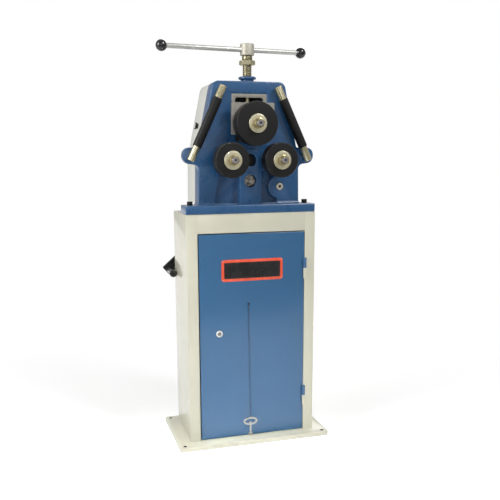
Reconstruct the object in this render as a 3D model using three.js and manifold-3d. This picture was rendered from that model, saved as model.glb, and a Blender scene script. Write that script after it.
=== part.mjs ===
// Manual ring roller: a cast head with three rolls, a screw press with a sliding bar,
// two side guide rolls and a covered gear train, standing on a sheet-metal cabinet.
// Millimetres, +Z up, +Y to the back. The origin lies on the floor under the base plate's centre.

import * as THREE from 'three';
import { mergeVertices } from 'three/addons/utils/BufferGeometryUtils.js';
import Module from 'manifold-3d';

const wasm = await Module();
wasm.setup();

// Clearances, and the length by which a cutting tool passes the faces it cuts
const seatGap = 0.3;
const runGap = 0.3;
const slideGap = 0.3;
const overrun = 2;
const weldDistance = 0.0001;

// Facets round a turned piece, by its size
const smallSides = 8;
const turnedSides = 12;
const rollSides = 24;
const arcStepDegrees = 20;
const arcSag = 0.3;
const flankSteps = 1;

// Share of half a width that rounds an end over
const roundShare = 0.98;

// Base plate
const baseWidth = 535;
const baseDepth = 308;
const baseThickness = 15;
const baseCornerRadius = 5;
const anchorHoleRadius = 6.5;
const anchorInset = 17;

// Cabinet
const cabinetWidth = 450;
const cabinetDepth = 213.5;
const cabinetTop = 797;
const cabinetSheet = 2;
const cabinetFold = 1;
const topSheet = 3;
const stileWidth = 37;
const stileLip = 15;
const headerHeight = 63.5;
const rearLip = 20;

// Door
const doorGap = 1;
const doorFootGap = 1.7;
const doorSheet = 1.5;
const doorFlange = 15;

// Lift-off hinges: pin radius, barrel radius and length, and the heights where the halves meet
const hingePinRadius = 2.5;
const barrelRadius = 5.5;
const barrelLength = 36;
const hingePinGrip = 28;
const hingeWeldInset = 1.5;
const upperHingeZ = 605;
const lowerHingeZ = 145;

// Cam lock
const lockX = -118;
const lockZ = 392;
const lockFaceRadius = 11.5;
const lockFaceProud = 2.5;
const lockBarrelRadius = 9;
const lockBarrelLength = 19;
const lockPlugRadius = 6.5;
const lockRingFlats = 24;
const lockRingThickness = 5;
const keySlotWidth = 1.6;
const keySlotLength = 8;
const keySlotDepth = 5;
const camThickness = 3;
const camWidth = 16;
const camReach = 82;
const camCorner = 1;

// Key, its string and the rivet that holds the string
const rivetX = -14.8;
const rivetZ = 490;
const rivetHeadRadius = 3.6;
const rivetNeckRadius = 1.8;
const rivetNeckLength = 3.6;
const rivetHeadThickness = 1.8;
const rivetCrownShare = 0.6;
const stringRadius = 1.2;
const stringSides = 8;
const stringStep = 7.2;
const keyX = -9.4;
const keyTopZ = 82.5;
const keyBowWidth = 51;
const keyBowHeight = 29;
const keyRim = 6.2;
const keyThickness = 3.2;
const keyShankRadius = 3.4;
const keyShankLength = 38;
const keyBitWidth = 13;
const keyBitHeight = 10;

// Head casting
const flangeWidth = 450;
const flangeDepth = 86.5;
const flangeThickness = 28.5;
const flangeCornerRadius = 6;
const footFillet = 9;
const headFaceY = -77;
const headRearY = -20;
const headFootWidth = 351;
const headShoulderWidth = 346;
const headShoulderRise = 7;
const headTopWidth = 243;
const headCrown = 51.7;
const headTopRadius = 24;
const headShoulderRadius = 40;
const headWall = 15;
const rearPocketDepth = 18;
const earProud = 1.5;
const earRise = 16.5;
const earRadius = 25;
const earThickness = 23;
const earDrop = 7;
const earFillet = 18;
const earFilletDrop = 32;
const frontPocketDepth = 21;
const frontPocketTopDrop = 31;
const frontPocketRise = 4;
const frontPocketRadius = 6;
const leftPocketFootX = -122;
const leftPocketTopX = -103;
const rightPocketFootX = 97;
const centrePadWidth = 76;
const centrePadProud = 11;
const centreBoreRadius = 18;
const screwBossRadius = 29;
const screwBossHeight = 15;
const screwBossDrop = 22;
const screwBossNeckRadius = 24;
const screwBossRim = 9;
const flangeScrewX = 202;
const flangeScrewY = -60;

// Window for the slide block
const windowWidth = 96;
const blockRun = 19;
const windowFloorGap = 1.2;
const windowCornerRadius = 8;
const windowRim = 12;
const windowFacing = 2;
const windowFrame = 16;

// Rolls, and the shafts that carry them
const lowerRollRadius = 56;
const lowerRollRise = 145.5;
const lowerRollX = 82.5;
const topRollRadius = 69;
const topRollRise = 115;
const rollWidth = 46;
const rollFrontY = -168;
const rollChamfer = 2;
const rollBoreRadius = 20;
const collarRadius = 30;
const collarWidth = 2.4;
const journalRadius = 17.5;
const rollBossRadius = 36;
const threadRadius = 10;
const shaftEndLength = 13.4;
const shaftEndChamfer = 1.5;
const centreDrillRadius = 3;
const centreDrillDepth = 4;
const washerRadius = 29.5;
const washerThickness = 5;
const rollNutFlats = 30;
const rollNutThickness = 16;
const keyWidth = 10;
const keyHeight = 8;
const keyLength = 40;

// Slide block
const blockPlateWidth = 144;
const blockPlateThickness = 12;
const blockAboveRoll = 67;
const blockBelowRoll = 34;
const blockEdge = 3;
const keeperMargin = 12;
const keeperThickness = 10;
const keeperScrewRadius = 4;
const keeperScrewInset = 14;
const keeperHeadRadius = 6.5;
const keeperHeadThickness = 5;
const keeperScrewLength = 22;
const topNutFlats = 46;
const topNutThickness = 12;

// Press screw and its handle
const screwAxisY = -52.4;
const screwRadius = 15;
const screwShoulderRise = 13;
const screwNeckRadius = 8;
const buttonRadius = 15;
const buttonHeight = 10;
const slotLipHeight = 13;
const neckRise = 68.8;
const neckHeight = 12.5;
const neckRadius = 17;
const hubHeight = 37;
const hubRadius = 22.8;
const hubChamfer = 3;
const pressNutRadius = 18.5;
const pressNutFlangeRadius = 21;
const pressNutFlangeHeight = 7;
const lockNutFlats = 46;
const lockNutThickness = 15.6;
const lockNutDrop = 1.9;
const barRadius = 7.75;
const barLeftReach = 287.6;
const barRightReach = 193.5;
const barTurnDegrees = 5.6;
const ballRadius = 18;
const ballFlat = 1.5;

// Side guide rolls
const guideAxisY = -94.5;
const guideRodRadius = 12.5;
const guideSleeveRadius = 15;
const guideTopInset = 29.5;
const guideTopDrop = 17.7;
const guideFootOffset = 1.5;
const guideFootDrop = 17.5;
const sleeveTopOffset = 43;
const sleeveLength = 169;
const rodChamfer = 1.5;
const studInset = 18;
const studRadius = 6;
const postRadius = 10;
const studHeadFlats = 19;
const studHeadThickness = 9;

// Gear train: the crank pinion drives the layshaft wheel, the layshaft pinion drives the
// idler, and the idler drives the gears on both lower roll shafts
const gearModule = 3;
const pressureDegrees = 20;
const addendumShare = 0.95;
const dedendumShare = 1.25;
const toothThinning = 0.22;
const crankTeeth = 30;
const wheelTeeth = 42;
const layTeeth = 15;
const idlerTeeth = 30;
const rollGearTeeth = 25;
const crankShaftRise = 57.5;
const frontGearY = -15;
const gearWidth = 26;
const rearGearY = 42;
const layShaftRadius = 12;
const layShaftFrontY = -74;
const layNutRadius = 17;
const layNutThickness = 8;
const gearSeatRadius = 15;
const gearNutFlats = 36;
const gearNutThickness = 12;
const idlerStudFrontY = -72;
const idlerPinRadius = 10;
const crankShaftRadius = 12.5;
const crankBossRadius = 40;

// Rear bearing plate and the pillars that carry it
const plateY = 20;
const plateThickness = 16;
const plateAboveRoll = 34;
const plateGap = 0.5;
const pillarX = 152;
const pillarRise = 26.5;
const upperPillarX = 116;
const upperPillarDrop = 32;
const pillarBossRadius = 14;
const pillarScrewRadius = 4;
const pillarScrewHeadRadius = 6.5;
const pillarScrewHeadThickness = 8;
const pillarScrewGrip = 18;

// Gear cover
const coverSheet = 2;
const coverRise = 5.5;
const coverTopDrop = 2;
const coverRearY = 100;
const coverShaftHole = 15;
const coverScrewY = 28;
const coverScrewRise = 106;
const coverScrewRadius = 3;
const coverScrewLength = 14;
const coverHeadRadius = 9;
const coverHeadThickness = 8;

// Crank
const crankRadius = 460;
const crankArmY = 152;
const crankArmThickness = 10;
const crankArmWidth = 45;
const crankHubRadius = 25;
const crankHubWidth = 24;
const crankShaftProud = 4;
const crankArmEnd = 11;
const crankArmCorner = 4;
const spindleRadius = 6;
const gripRadius = 9;
const gripLength = 75.7;
const gripCapRadius = 13.5;
const gripCapLength = 12;
const gripCapCrown = 4;
const spindleNutFlats = 19;
const spindleNutThickness = 8;

// Cap screws that hold the head to the cabinet
const flangeScrewRadius = 6;
const flangeScrewHeadRadius = 9.5;
const flangeScrewHeadHeight = 12;
const flangeScrewSocket = 5;
const flangeScrewTail = 12;
const flangeNutFlats = 19;
const flangeNutThickness = 9;

// Places that follow from the sizes above
const halfCabinet = cabinetWidth / 2;
const flangeTop = cabinetTop + flangeThickness;
const lowerRollZ = flangeTop + lowerRollRise;
const topRollZ = lowerRollZ + topRollRise;
const blockTop = topRollZ + blockAboveRoll;
const blockBottom = topRollZ - blockBelowRoll;
const windowTop = blockTop + blockRun;
const headTop = windowTop + headCrown;
const headShoulderZ = lowerRollZ + headShoulderRise;
const frontPocketTop = lowerRollZ - frontPocketTopDrop;
const earZ = lowerRollZ + earRise;
const guideFootZ = earZ - guideFootDrop;
const guideTopZ = headTop - guideTopDrop;
const screwShoulderZ = windowTop + screwShoulderRise;
const neckZ = headTop + neckRise;
const crankShaftZ = flangeTop + crankShaftRise;
const plateTop = topRollZ + plateAboveRoll;
const pillarZ = flangeTop + pillarRise;
const upperPillarZ = plateTop - upperPillarDrop;
const coverBottom = flangeTop + coverRise;
const coverScrewZ = headShoulderZ + coverScrewRise;
const cabinetFrontY = -cabinetDepth / 2;
const doorHalf = halfCabinet - stileWidth - doorGap;
const doorTop = cabinetTop - headerHeight - doorGap;
const doorBottom = baseThickness + doorFootGap;
const hingeX = halfCabinet - stileWidth - doorGap / 2;
const hingeY = cabinetFrontY - seatGap - barrelRadius;
const hubZ = neckZ + neckHeight;
const hubTop = hubZ + hubHeight;
const barZ = hubZ + hubHeight / 2;
const lockNutZ = neckZ - lockNutDrop - lockNutThickness;
const earX = flangeWidth / 2 + earProud - earRadius;
const guideFootX = earX + guideFootOffset;
const guideTopX = headTopWidth / 2 - guideTopInset;
const rollRearY = rollFrontY + rollWidth;
const collarRearY = rollRearY + seatGap + collarWidth;
const blockFrontY = collarRearY + seatGap;
const washerFrontY = rollFrontY - seatGap - washerThickness;
const nutFrontY = washerFrontY - seatGap - rollNutThickness;
const shaftFrontY = nutFrontY - shaftEndLength;
const rollDrop = topRollZ - lowerRollZ - Math.sqrt(
  (topRollRadius + lowerRollRadius + seatGap) ** 2 - lowerRollX ** 2,
);
const windowBottom = blockBottom - rollDrop - windowFloorGap;
const buttonTop = blockTop - slotLipHeight;
const buttonBottom = buttonTop - buttonHeight;
const layShaftZ = lowerRollZ - gearModule * (layTeeth + idlerTeeth) / 2;
const crankShaftX = Math.sqrt(
  (gearModule * (crankTeeth + wheelTeeth) / 2) ** 2 - (layShaftZ - crankShaftZ) ** 2,
);
const gearRearY = frontGearY + gearWidth;
const plateRearY = plateY + plateThickness;
const crankArmRearY = crankArmY + crankArmThickness;
const crankHandleX = -halfCabinet - seatGap - gripCapRadius;
const crankAngle = Math.acos((crankShaftX - crankHandleX) / crankRadius);

const blue = new THREE.Color(0x376195);
const cream = new THREE.Color(0xd6d3bd);
const plating = new THREE.Color(0xcfc49c);

// Material with the colour and finish that one piece has
function finish(color, roughness, metalness) {
  return new THREE.MeshStandardMaterial({ color, roughness, metalness });
}

const bluePaint = () => finish(blue, 0.45, 0);
const creamPaint = () => finish(cream, 0.5, 0);
const blackOxide = () => finish(0x26262a, 0.45, 0.6);
const zincPlate = () => finish(plating, 0.32, 0.9);
const brightSteel = () => finish(0xb9b9b4, 0.3, 1);
const bronze = () => finish(0xa9814c, 0.4, 1);
const blackPlastic = () => finish(0x151516, 0.25, 0);

// Welds a geometry's seams, drops its collapsed triangles and turns its faces outward
function closed(geometry) {
  const bare = new THREE.BufferGeometry();
  bare.setAttribute('position', geometry.getAttribute('position'));
  bare.setIndex(geometry.index);
  const welded = mergeVertices(bare, weldDistance);
  const corners = welded.index.array;
  const place = welded.getAttribute('position');
  const a = new THREE.Vector3();
  const b = new THREE.Vector3();
  const c = new THREE.Vector3();
  const kept = [];
  let volume = 0;
  for (let i = 0; i < corners.length; i += 3) {
    const [p, q, r] = [corners[i], corners[i + 1], corners[i + 2]];
    if (p === q || q === r || r === p) continue;
    kept.push([p, q, r]);
    a.fromBufferAttribute(place, p);
    b.fromBufferAttribute(place, q);
    c.fromBufferAttribute(place, r);
    volume += a.dot(b.cross(c));
  }
  if (volume < 0) kept.forEach((corner) => corner.reverse());
  welded.setIndex(kept.flat());
  return welded;
}

// A geometry as a solid that can be joined and cut
function solid(geometry) {
  const body = closed(geometry);
  return new wasm.Manifold(new wasm.Mesh({
    numProp: 3,
    vertProperties: new Float32Array(body.getAttribute('position').array),
    triVerts: new Uint32Array(body.index.array),
  }));
}

// A joined or cut solid as a geometry again
function geometryOf(body) {
  const mesh = body.getMesh();
  const geometry = new THREE.BufferGeometry();
  geometry.setAttribute('position', new THREE.BufferAttribute(mesh.vertProperties, 3));
  geometry.setIndex(Array.from(mesh.triVerts));
  return geometry;
}

function joined(first, ...others) {
  return geometryOf(others.reduce((body, other) => body.add(solid(other)), solid(first)));
}

function cut(first, ...tools) {
  return geometryOf(tools.reduce((body, tool) => body.subtract(solid(tool)), solid(first)));
}

function piece(name, geometry, material) {
  const mesh = new THREE.Mesh(closed(geometry), material);
  mesh.name = name;
  return mesh;
}

function group(...children) {
  const node = new THREE.Group();
  node.add(...children);
  return node;
}

// Box between two corners
function box(x0, x1, y0, y1, z0, z1) {
  const geometry = new THREE.BoxGeometry(x1 - x0, y1 - y0, z1 - z0);
  return geometry.translate((x0 + x1) / 2, (y0 + y1) / 2, (z0 + z1) / 2);
}

// Closed outline whose corners [x, y, radius] are rounded; radius 0 leaves a sharp corner
function outline(corners) {
  const points = [];
  corners.forEach(([x, y, radius], i) => {
    const corner = new THREE.Vector2(x, y);
    if (!radius) {
      points.push(corner);
      return;
    }
    const before = corners[(i + corners.length - 1) % corners.length];
    const after = corners[(i + 1) % corners.length];
    const u = new THREE.Vector2(before[0], before[1]).sub(corner).normalize();
    const v = new THREE.Vector2(after[0], after[1]).sub(corner).normalize();
    const half = Math.acos(THREE.MathUtils.clamp(u.dot(v), -1, 1)) / 2;
    const middle = u.clone().add(v).normalize();
    const centre = corner.clone().addScaledVector(middle, radius / Math.sin(half));
    const start = corner.clone().addScaledVector(u, radius / Math.tan(half)).sub(centre);
    const sweep = (Math.PI - 2 * half) * Math.sign(-u.cross(v));
    const finest = THREE.MathUtils.degToRad(arcStepDegrees);
    const step = Math.max(finest, 2 * Math.acos(Math.max(0, 1 - arcSag / radius)));
    const steps = Math.max(1, Math.ceil(Math.abs(sweep) / step));
    for (let i = 0; i <= steps; i += 1) {
      const turned = start.clone().rotateAround(new THREE.Vector2(), sweep * i / steps);
      points.push(turned.add(centre));
    }
  });
  return points;
}

function circle(x, y, radius, sides = turnedSides) {
  return Array.from({ length: sides }, (_, i) => new THREE.Vector2(
    x - radius * Math.sin(2 * Math.PI * i / sides),
    y + radius * Math.cos(2 * Math.PI * i / sides),
  ));
}

// Radius of a faceted bore whose flats clear a round pin by a gap, and of a round pin
// that clears the flats of a faceted bore
function boreOf(radius, gap, sides = turnedSides) {
  return (radius + gap) / Math.cos(Math.PI / sides);
}

function pinIn(radius, gap, sides = turnedSides) {
  return radius * Math.cos(Math.PI / sides) - gap;
}

function hexagon(flats) {
  return circle(0, 0, flats / Math.sqrt(3), 6);
}

function shapeOf(points, holes = []) {
  const shape = new THREE.Shape(points);
  shape.holes = holes.map((hole) => new THREE.Path(hole));
  return shape;
}

function extruded(points, holes, length) {
  return new THREE.ExtrudeGeometry(shapeOf(points, holes), { depth: length, bevelEnabled: false });
}

// Flat pieces cut from an outline: drawn in X and Z with its thickness along Y, in X and Y
// with its thickness along Z, or in Y and Z with its thickness along X
function plateAlongY(points, y0, y1, holes = []) {
  const turn = new THREE.Matrix4().makeBasis(
    new THREE.Vector3(1, 0, 0),
    new THREE.Vector3(0, 0, 1),
    new THREE.Vector3(0, -1, 0),
  );
  return extruded(points, holes, y1 - y0).applyMatrix4(turn).translate(0, y1, 0);
}

function plateAlongZ(points, z0, z1, holes = []) {
  return extruded(points, holes, z1 - z0).translate(0, 0, z0);
}

function plateAlongX(points, x0, x1, holes = []) {
  const turn = new THREE.Matrix4().makeBasis(
    new THREE.Vector3(0, 1, 0),
    new THREE.Vector3(0, 0, 1),
    new THREE.Vector3(1, 0, 0),
  );
  return extruded(points, holes, x1 - x0).applyMatrix4(turn).translate(x0, 0, 0);
}

// Round bars along Y and along Z
function barAlongY(x, z, radius, y0, y1, sides = turnedSides) {
  const geometry = new THREE.CylinderGeometry(radius, radius, y1 - y0, sides);
  return geometry.translate(x, (y0 + y1) / 2, z);
}

function barAlongZ(x, y, radius, z0, z1, sides = turnedSides) {
  const geometry = new THREE.CylinderGeometry(radius, radius, z1 - z0, sides);
  return geometry.rotateX(Math.PI / 2).translate(x, y, (z0 + z1) / 2);
}

// Turned pieces about Y, and about Z, from [radius, place along the axis] points
function turnedAboutY(profile, sides = turnedSides) {
  const points = profile.map(([radius, along]) => new THREE.Vector2(radius, along));
  const onAxis = profile[0][0] === 0 && profile.at(-1)[0] === 0;
  if (!onAxis) points.push(points[0].clone());
  return new THREE.LatheGeometry(points, sides);
}

function turnedAboutZ(profile, sides = turnedSides) {
  return turnedAboutY(profile, sides).rotateX(Math.PI / 2);
}

function tube(inner, outer, y0, y1, sides = turnedSides) {
  return turnedAboutY([[inner, y0], [outer, y0], [outer, y1], [inner, y1]], sides);
}

function nut(flats, boreRadius, y0, y1) {
  return plateAlongY(hexagon(flats), y0, y1, [circle(0, 0, boreRadius)]);
}

// Outline of sheet metal folded along a path, with an inner bend radius at each corner
function folded(path, sheet, bend) {
  const points = path.map(([x, y]) => new THREE.Vector2(x, y));
  const normals = points.slice(1).map((point, i) => {
    const along = point.clone().sub(points[i]).normalize();
    return new THREE.Vector2(-along.y, along.x);
  });
  const near = [];
  const far = [];
  points.forEach((point, i) => {
    const before = normals[Math.max(i - 1, 0)];
    const after = normals[Math.min(i, normals.length - 1)];
    const mitre = before.clone().add(after).normalize();
    const reach = sheet / mitre.dot(before);
    const turn = before.cross(after);
    const inner = Math.abs(turn) < weldDistance ? 0 : bend;
    const outer = inner ? bend + sheet : 0;
    near.push([point.x, point.y, turn < 0 ? inner : outer]);
    const other = point.clone().addScaledVector(mitre, reach);
    far.push([other.x, other.y, turn < 0 ? outer : inner]);
  });
  return outline([...near, ...far.reverse()]);
}

// Involute gear of one tooth size, drawn with a tooth centred at the angle phase
function gearOutline(teeth, phase) {
  const pitch = gearModule * teeth / 2;
  const pressure = THREE.MathUtils.degToRad(pressureDegrees);
  const baseCircle = pitch * Math.cos(pressure);
  const tip = pitch + addendumShare * gearModule;
  const root = pitch - dedendumShare * gearModule;
  const involute = (angle) => Math.tan(angle) - angle;
  const halfAngle = (radius) => {
    const angle = Math.acos(Math.min(1, baseCircle / radius));
    const atPitch = Math.PI / (2 * teeth) - toothThinning / pitch;
    return atPitch + involute(pressure) - involute(angle);
  };
  const points = [];
  for (let tooth = 0; tooth < teeth; tooth += 1) {
    const middle = phase + 2 * Math.PI * tooth / teeth;
    const radii = Array.from(
      { length: flankSteps + 1 },
      (_, i) => THREE.MathUtils.lerp(root, tip, i / flankSteps),
    );
    const flank = [...radii.map((r) => [r, -1]), ...radii.reverse().map((r) => [r, 1])];
    for (const [radius, side] of flank) {
      const angle = middle + side * halfAngle(Math.max(radius, baseCircle));
      points.push(new THREE.Vector2(radius * Math.cos(angle), radius * Math.sin(angle)));
    }
  }
  return points;
}

// Phase of a gear that meshes with a driver, seen along the line of centres at an angle
function meshPhase(driverTeeth, driverPhase, teeth, lineAngle) {
  const driverPitch = gearModule * driverTeeth / 2;
  const pitch = gearModule * teeth / 2;
  const offset = (lineAngle - driverPhase) * driverPitch + Math.PI * gearModule / 2;
  return lineAngle + Math.PI + offset / pitch;
}

function gear(teeth, phase, y0, boreRadius) {
  return plateAlongY(gearOutline(teeth, phase), y0, y0 + gearWidth, [circle(0, 0, boreRadius)]);
}

// Base plate and cabinet

function basePlate() {
  const [x, y, r] = [baseWidth / 2, baseDepth / 2, baseCornerRadius];
  const edge = outline([[-x, -y, r], [x, -y, r], [x, y, r], [-x, y, r]]);
  const holes = [-1, 1].flatMap((sx) => [-1, 1].map((sy) => circle(
    sx * (x - anchorInset),
    sy * (y - anchorInset),
    anchorHoleRadius,
  )));
  return piece('base_plate', plateAlongZ(edge, 0, baseThickness, holes), creamPaint());
}

// Each side is one folded sheet: the front stile with its lip, the side and a rear lip
function sidePanel(side) {
  const path = [
    [halfCabinet - stileWidth, cabinetFrontY + stileLip],
    [halfCabinet - stileWidth, cabinetFrontY],
    [halfCabinet, cabinetFrontY],
    [halfCabinet, -cabinetFrontY - cabinetSheet],
    [halfCabinet - rearLip, -cabinetFrontY - cabinetSheet],
  ];
  const edge = folded(path, cabinetSheet, cabinetFold).map((p) => new THREE.Vector2(side * p.x, p.y));
  return plateAlongZ(edge, baseThickness, cabinetTop - topSheet);
}

function backPanel() {
  const y = -cabinetFrontY;
  const back = box(-halfCabinet, halfCabinet, y - cabinetSheet, y, baseThickness, cabinetTop - topSheet);
  return piece('back_panel', back, creamPaint());
}

function topPanel() {
  const [x, y, r] = [halfCabinet, cabinetDepth / 2, cabinetFold];
  const edge = outline([[-x, -y, r], [x, -y, r], [x, y, r], [-x, y, r]]);
  const hole = boreOf(flangeScrewRadius, seatGap);
  const holes = [-1, 1].map((side) => circle(side * flangeScrewX, flangeScrewY, hole));
  const panel = plateAlongZ(edge, cabinetTop - topSheet, cabinetTop, holes);
  return piece('top_panel', panel, creamPaint());
}

// Folded rail over the door, between the stiles
function doorHeader() {
  const top = cabinetTop - topSheet - seatGap;
  const path = [
    [cabinetFrontY + stileLip, top - cabinetSheet],
    [cabinetFrontY, top - cabinetSheet],
    [cabinetFrontY, doorTop + doorGap],
    [cabinetFrontY + stileLip, doorTop + doorGap],
  ];
  const half = halfCabinet - stileWidth - seatGap;
  const edge = folded(path, cabinetSheet, cabinetFold);
  return piece('door_header', plateAlongX(edge, -half, half), creamPaint());
}

// Half hinges: a barrel about the hinge axis, from [radius, height] points, with the weld
// that joins it to the frame on one side of the axis or to the door on the other
function hingeHalf(profile, side, sheet) {
  const heights = profile.map((point) => point[1]);
  const weld = box(
    Math.min(side * hingeWeldInset, side * barrelRadius),
    Math.max(side * hingeWeldInset, side * barrelRadius),
    0,
    cabinetFrontY + sheet / 2 - hingeY,
    Math.min(...heights),
    Math.max(...heights.filter((z) => z <= Math.min(...heights) + barrelLength)),
  );
  const pinSpace = barAlongZ(0, 0, barrelRadius, Math.min(...heights), Math.max(...heights));
  return joined(turnedAboutZ(profile), cut(weld, pinSpace.scale(roundShare, roundShare, 1)))
    .translate(hingeX, hingeY, 0);
}

// The frame's half holds the pin, and the door's half drops over it
function frameHinge(z) {
  return hingeHalf([
    [0, z - barrelLength],
    [barrelRadius, z - barrelLength],
    [barrelRadius, z],
    [hingePinRadius, z],
    [hingePinRadius, z + hingePinGrip],
    [0, z + hingePinGrip],
  ], 1, cabinetSheet);
}

function doorHinge(z) {
  const bore = boreOf(hingePinRadius, runGap);
  return hingeHalf([
    [bore, z + seatGap],
    [barrelRadius, z + seatGap],
    [barrelRadius, z + barrelLength],
    [0, z + barrelLength],
    [0, z + hingePinGrip + runGap],
    [bore, z + hingePinGrip + runGap],
    [bore, z + seatGap],
  ], -1, doorSheet);
}

function sidePanels() {
  const hinges = [upperHingeZ, lowerHingeZ].map(frameHinge);
  return [
    piece('side_panel_left', sidePanel(-1), creamPaint()),
    piece('side_panel_right', joined(sidePanel(1), ...hinges), creamPaint()),
  ];
}

// Door

function doorPanel() {
  const front = cabinetFrontY;
  const pan = box(-doorHalf, doorHalf, front, front + doorFlange, doorBottom, doorTop);
  const inside = box(
    doorSheet - doorHalf,
    doorHalf - doorSheet,
    front + doorSheet,
    front + doorFlange + overrun,
    doorBottom + doorSheet,
    doorTop - doorSheet,
  );
  const lockHole = barAlongY(
    lockX,
    lockZ,
    boreOf(lockBarrelRadius, seatGap),
    front - overrun,
    front + doorSheet + overrun,
  );
  const hinges = [upperHingeZ, lowerHingeZ].map(doorHinge);
  return piece('door_panel', joined(cut(pan, inside, lockHole), ...hinges), bluePaint());
}

function doorLock() {
  const face = cabinetFrontY - seatGap;
  const rear = face + lockBarrelLength;
  const bore = boreOf(lockPlugRadius, runGap);
  const body = turnedAboutY([
    [bore, face - lockFaceProud],
    [lockFaceRadius - lockFaceProud / 2, face - lockFaceProud],
    [lockFaceRadius, face - lockFaceProud / 2],
    [lockFaceRadius, face],
    [lockBarrelRadius, face],
    [lockBarrelRadius, rear],
    [bore, rear],
  ]);
  const nutY = cabinetFrontY + doorSheet + seatGap;
  const ring = nut(lockRingFlats, lockBarrelRadius - overrun / 2, nutY, nutY + lockRingThickness);
  const plug = turnedAboutY([
    [0, face - lockFaceProud],
    [lockPlugRadius, face - lockFaceProud],
    [lockPlugRadius, rear + seatGap + camThickness],
    [0, rear + seatGap + camThickness],
  ]);
  const slot = box(
    -keySlotWidth / 2,
    keySlotWidth / 2,
    face - lockFaceProud - overrun,
    face - lockFaceProud + keySlotDepth,
    -keySlotLength / 2,
    keySlotLength / 2,
  );
  const end = camWidth / 2;
  const cam = plateAlongY(
    outline([
      [-camReach, -end, camCorner],
      [end, -end, end * roundShare],
      [end, end, end * roundShare],
      [-camReach, end, camCorner],
    ]),
    rear + seatGap,
    rear + seatGap + camThickness,
    [circle(0, 0, boreOf(lockPlugRadius, seatGap))],
  ).rotateY(-Math.PI / 2);
  const lock = group(
    piece('lock_barrel', joined(body, ring), zincPlate()),
    piece('lock_plug', cut(plug, slot), zincPlate()),
    piece('lock_cam', cam, zincPlate()),
  );
  lock.position.set(lockX, 0, lockZ);
  return lock;
}

// Route of the key's string, from under the rivet's head to the key's bow
const stringRoute = [
  [-14.8, -109.2, 487.7],
  [-14.75, -109, 484],
  [-14.6, -108.7, 477.5],
  [-14.3, -108.5, 460],
  [-13.9, -108.4, 430],
  [-13.5, -108.4, 400],
  [-13.1, -108.4, 370],
  [-12.7, -108.4, 340],
  [-12.3, -108.4, 310],
  [-11.9, -108.4, 280],
  [-11.5, -108.4, 250],
  [-11.1, -108.4, 220],
  [-10.7, -108.4, 190],
  [-10.3, -108.4, 160],
  [-9.9, -108.5, 130],
  [-9.6, -108.7, 108],
  [-9.45, -109.1, 91],
  [-9.4, -109.4, 82.9],
];

function keyString() {
  const route = new THREE.CatmullRomCurve3(stringRoute.map((p) => new THREE.Vector3(...p)));
  const section = shapeOf(circle(0, 0, stringRadius, stringSides));
  const steps = Math.round(route.getLength() / stringStep);
  const cord = new THREE.ExtrudeGeometry(section, { steps, extrudePath: route });
  return piece('key_string', cord, finish(0x8b8f94, 0.8, 0));
}

function stringRivet() {
  const face = cabinetFrontY - seatGap;
  const head = face - rivetNeckLength;
  const rivet = turnedAboutY([
    [0, head - rivetHeadThickness],
    [rivetHeadRadius * rivetCrownShare, head - rivetHeadThickness],
    [rivetHeadRadius, head],
    [rivetNeckRadius, head],
    [rivetNeckRadius, face],
    [0, face],
  ], smallSides);
  return piece('string_rivet', rivet.translate(rivetX, 0, rivetZ), blackOxide());
}

// Flat cabinet key: oval bow with a round neck in it, a flattened shank and a bit
function doorKey() {
  const y = cabinetFrontY - seatGap - keyThickness / 2;
  const bowZ = keyTopZ - keyBowHeight / 2;
  const oval = (shrink) => circle(0, 0, 1, rollSides).map((p) => new THREE.Vector2(
    p.x * (keyBowWidth / 2 - shrink),
    bowZ + p.y * (keyBowHeight / 2 - shrink),
  ));
  const half = keyThickness / 2;
  const bow = plateAlongY(oval(0), -half, half, [oval(keyRim)]);
  const neck = plateAlongY(circle(0, keyTopZ - keyBowHeight + keyRim, keyRim), -half, half);
  const shankTop = keyTopZ - keyBowHeight + keyRim / 2;
  const shankEnd = keyTopZ - keyBowHeight - keyShankLength;
  const shank = barAlongZ(0, 0, keyShankRadius, shankEnd, shankTop);
  const flat = box(
    -keyShankRadius,
    keyShankRadius,
    -keyShankRadius - overrun,
    -half,
    shankEnd - overrun,
    shankTop + overrun,
  );
  const bit = box(-keyBitWidth / 2, keyBitWidth / 2, -half / 2, half / 2, shankEnd, shankEnd + keyBitHeight);
  const key = cut(
    joined(bow, neck, shank, bit),
    flat,
    flat.clone().rotateZ(Math.PI),
  );
  return piece('door_key', key.translate(keyX, y, 0), brightSteel());
}

// Head casting

// The head's half widths change at the shoulder, so its outline is drawn once and inset
// for the parts that lie within it
function headOutline(bottom, top, inset, radius) {
  const slope = (headShoulderWidth - headTopWidth) / 2 / (headTop - headShoulderZ);
  const tilt = Math.hypot(1, slope);
  const shoulder = headShoulderWidth / 2 - inset;
  const foot = headFootWidth / 2 - inset;
  const shoulderZ = headShoulderZ;
  const topHalf = headShoulderWidth / 2 - inset * tilt - slope * (top - headShoulderZ);
  return outline([
    [-foot, bottom, 0],
    [foot, bottom, 0],
    [shoulder, shoulderZ, headShoulderRadius],
    [topHalf, top, radius],
    [-topHalf, top, radius],
    [-shoulder, shoulderZ, headShoulderRadius],
  ]);
}

function ear(side) {
  const inner = headShoulderWidth / 2 - headWall;
  const outer = earX + earRadius;
  const corners = [
    [inner, earZ + earRadius, 0],
    [outer, earZ + earRadius, earRadius * roundShare],
    [outer, earZ - earRadius, earRadius * roundShare],
    [headShoulderWidth / 2, earZ - earRadius - earDrop, earFillet],
    [headShoulderWidth / 2, earZ - earRadius - earFilletDrop - earDrop, 0],
    [inner, earZ - earRadius - earFilletDrop - earDrop, 0],
  ];
  const points = outline(corners).map((p) => new THREE.Vector2(side * p.x, p.y));
  return plateAlongY(points, headFaceY, headFaceY + earThickness);
}

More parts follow.
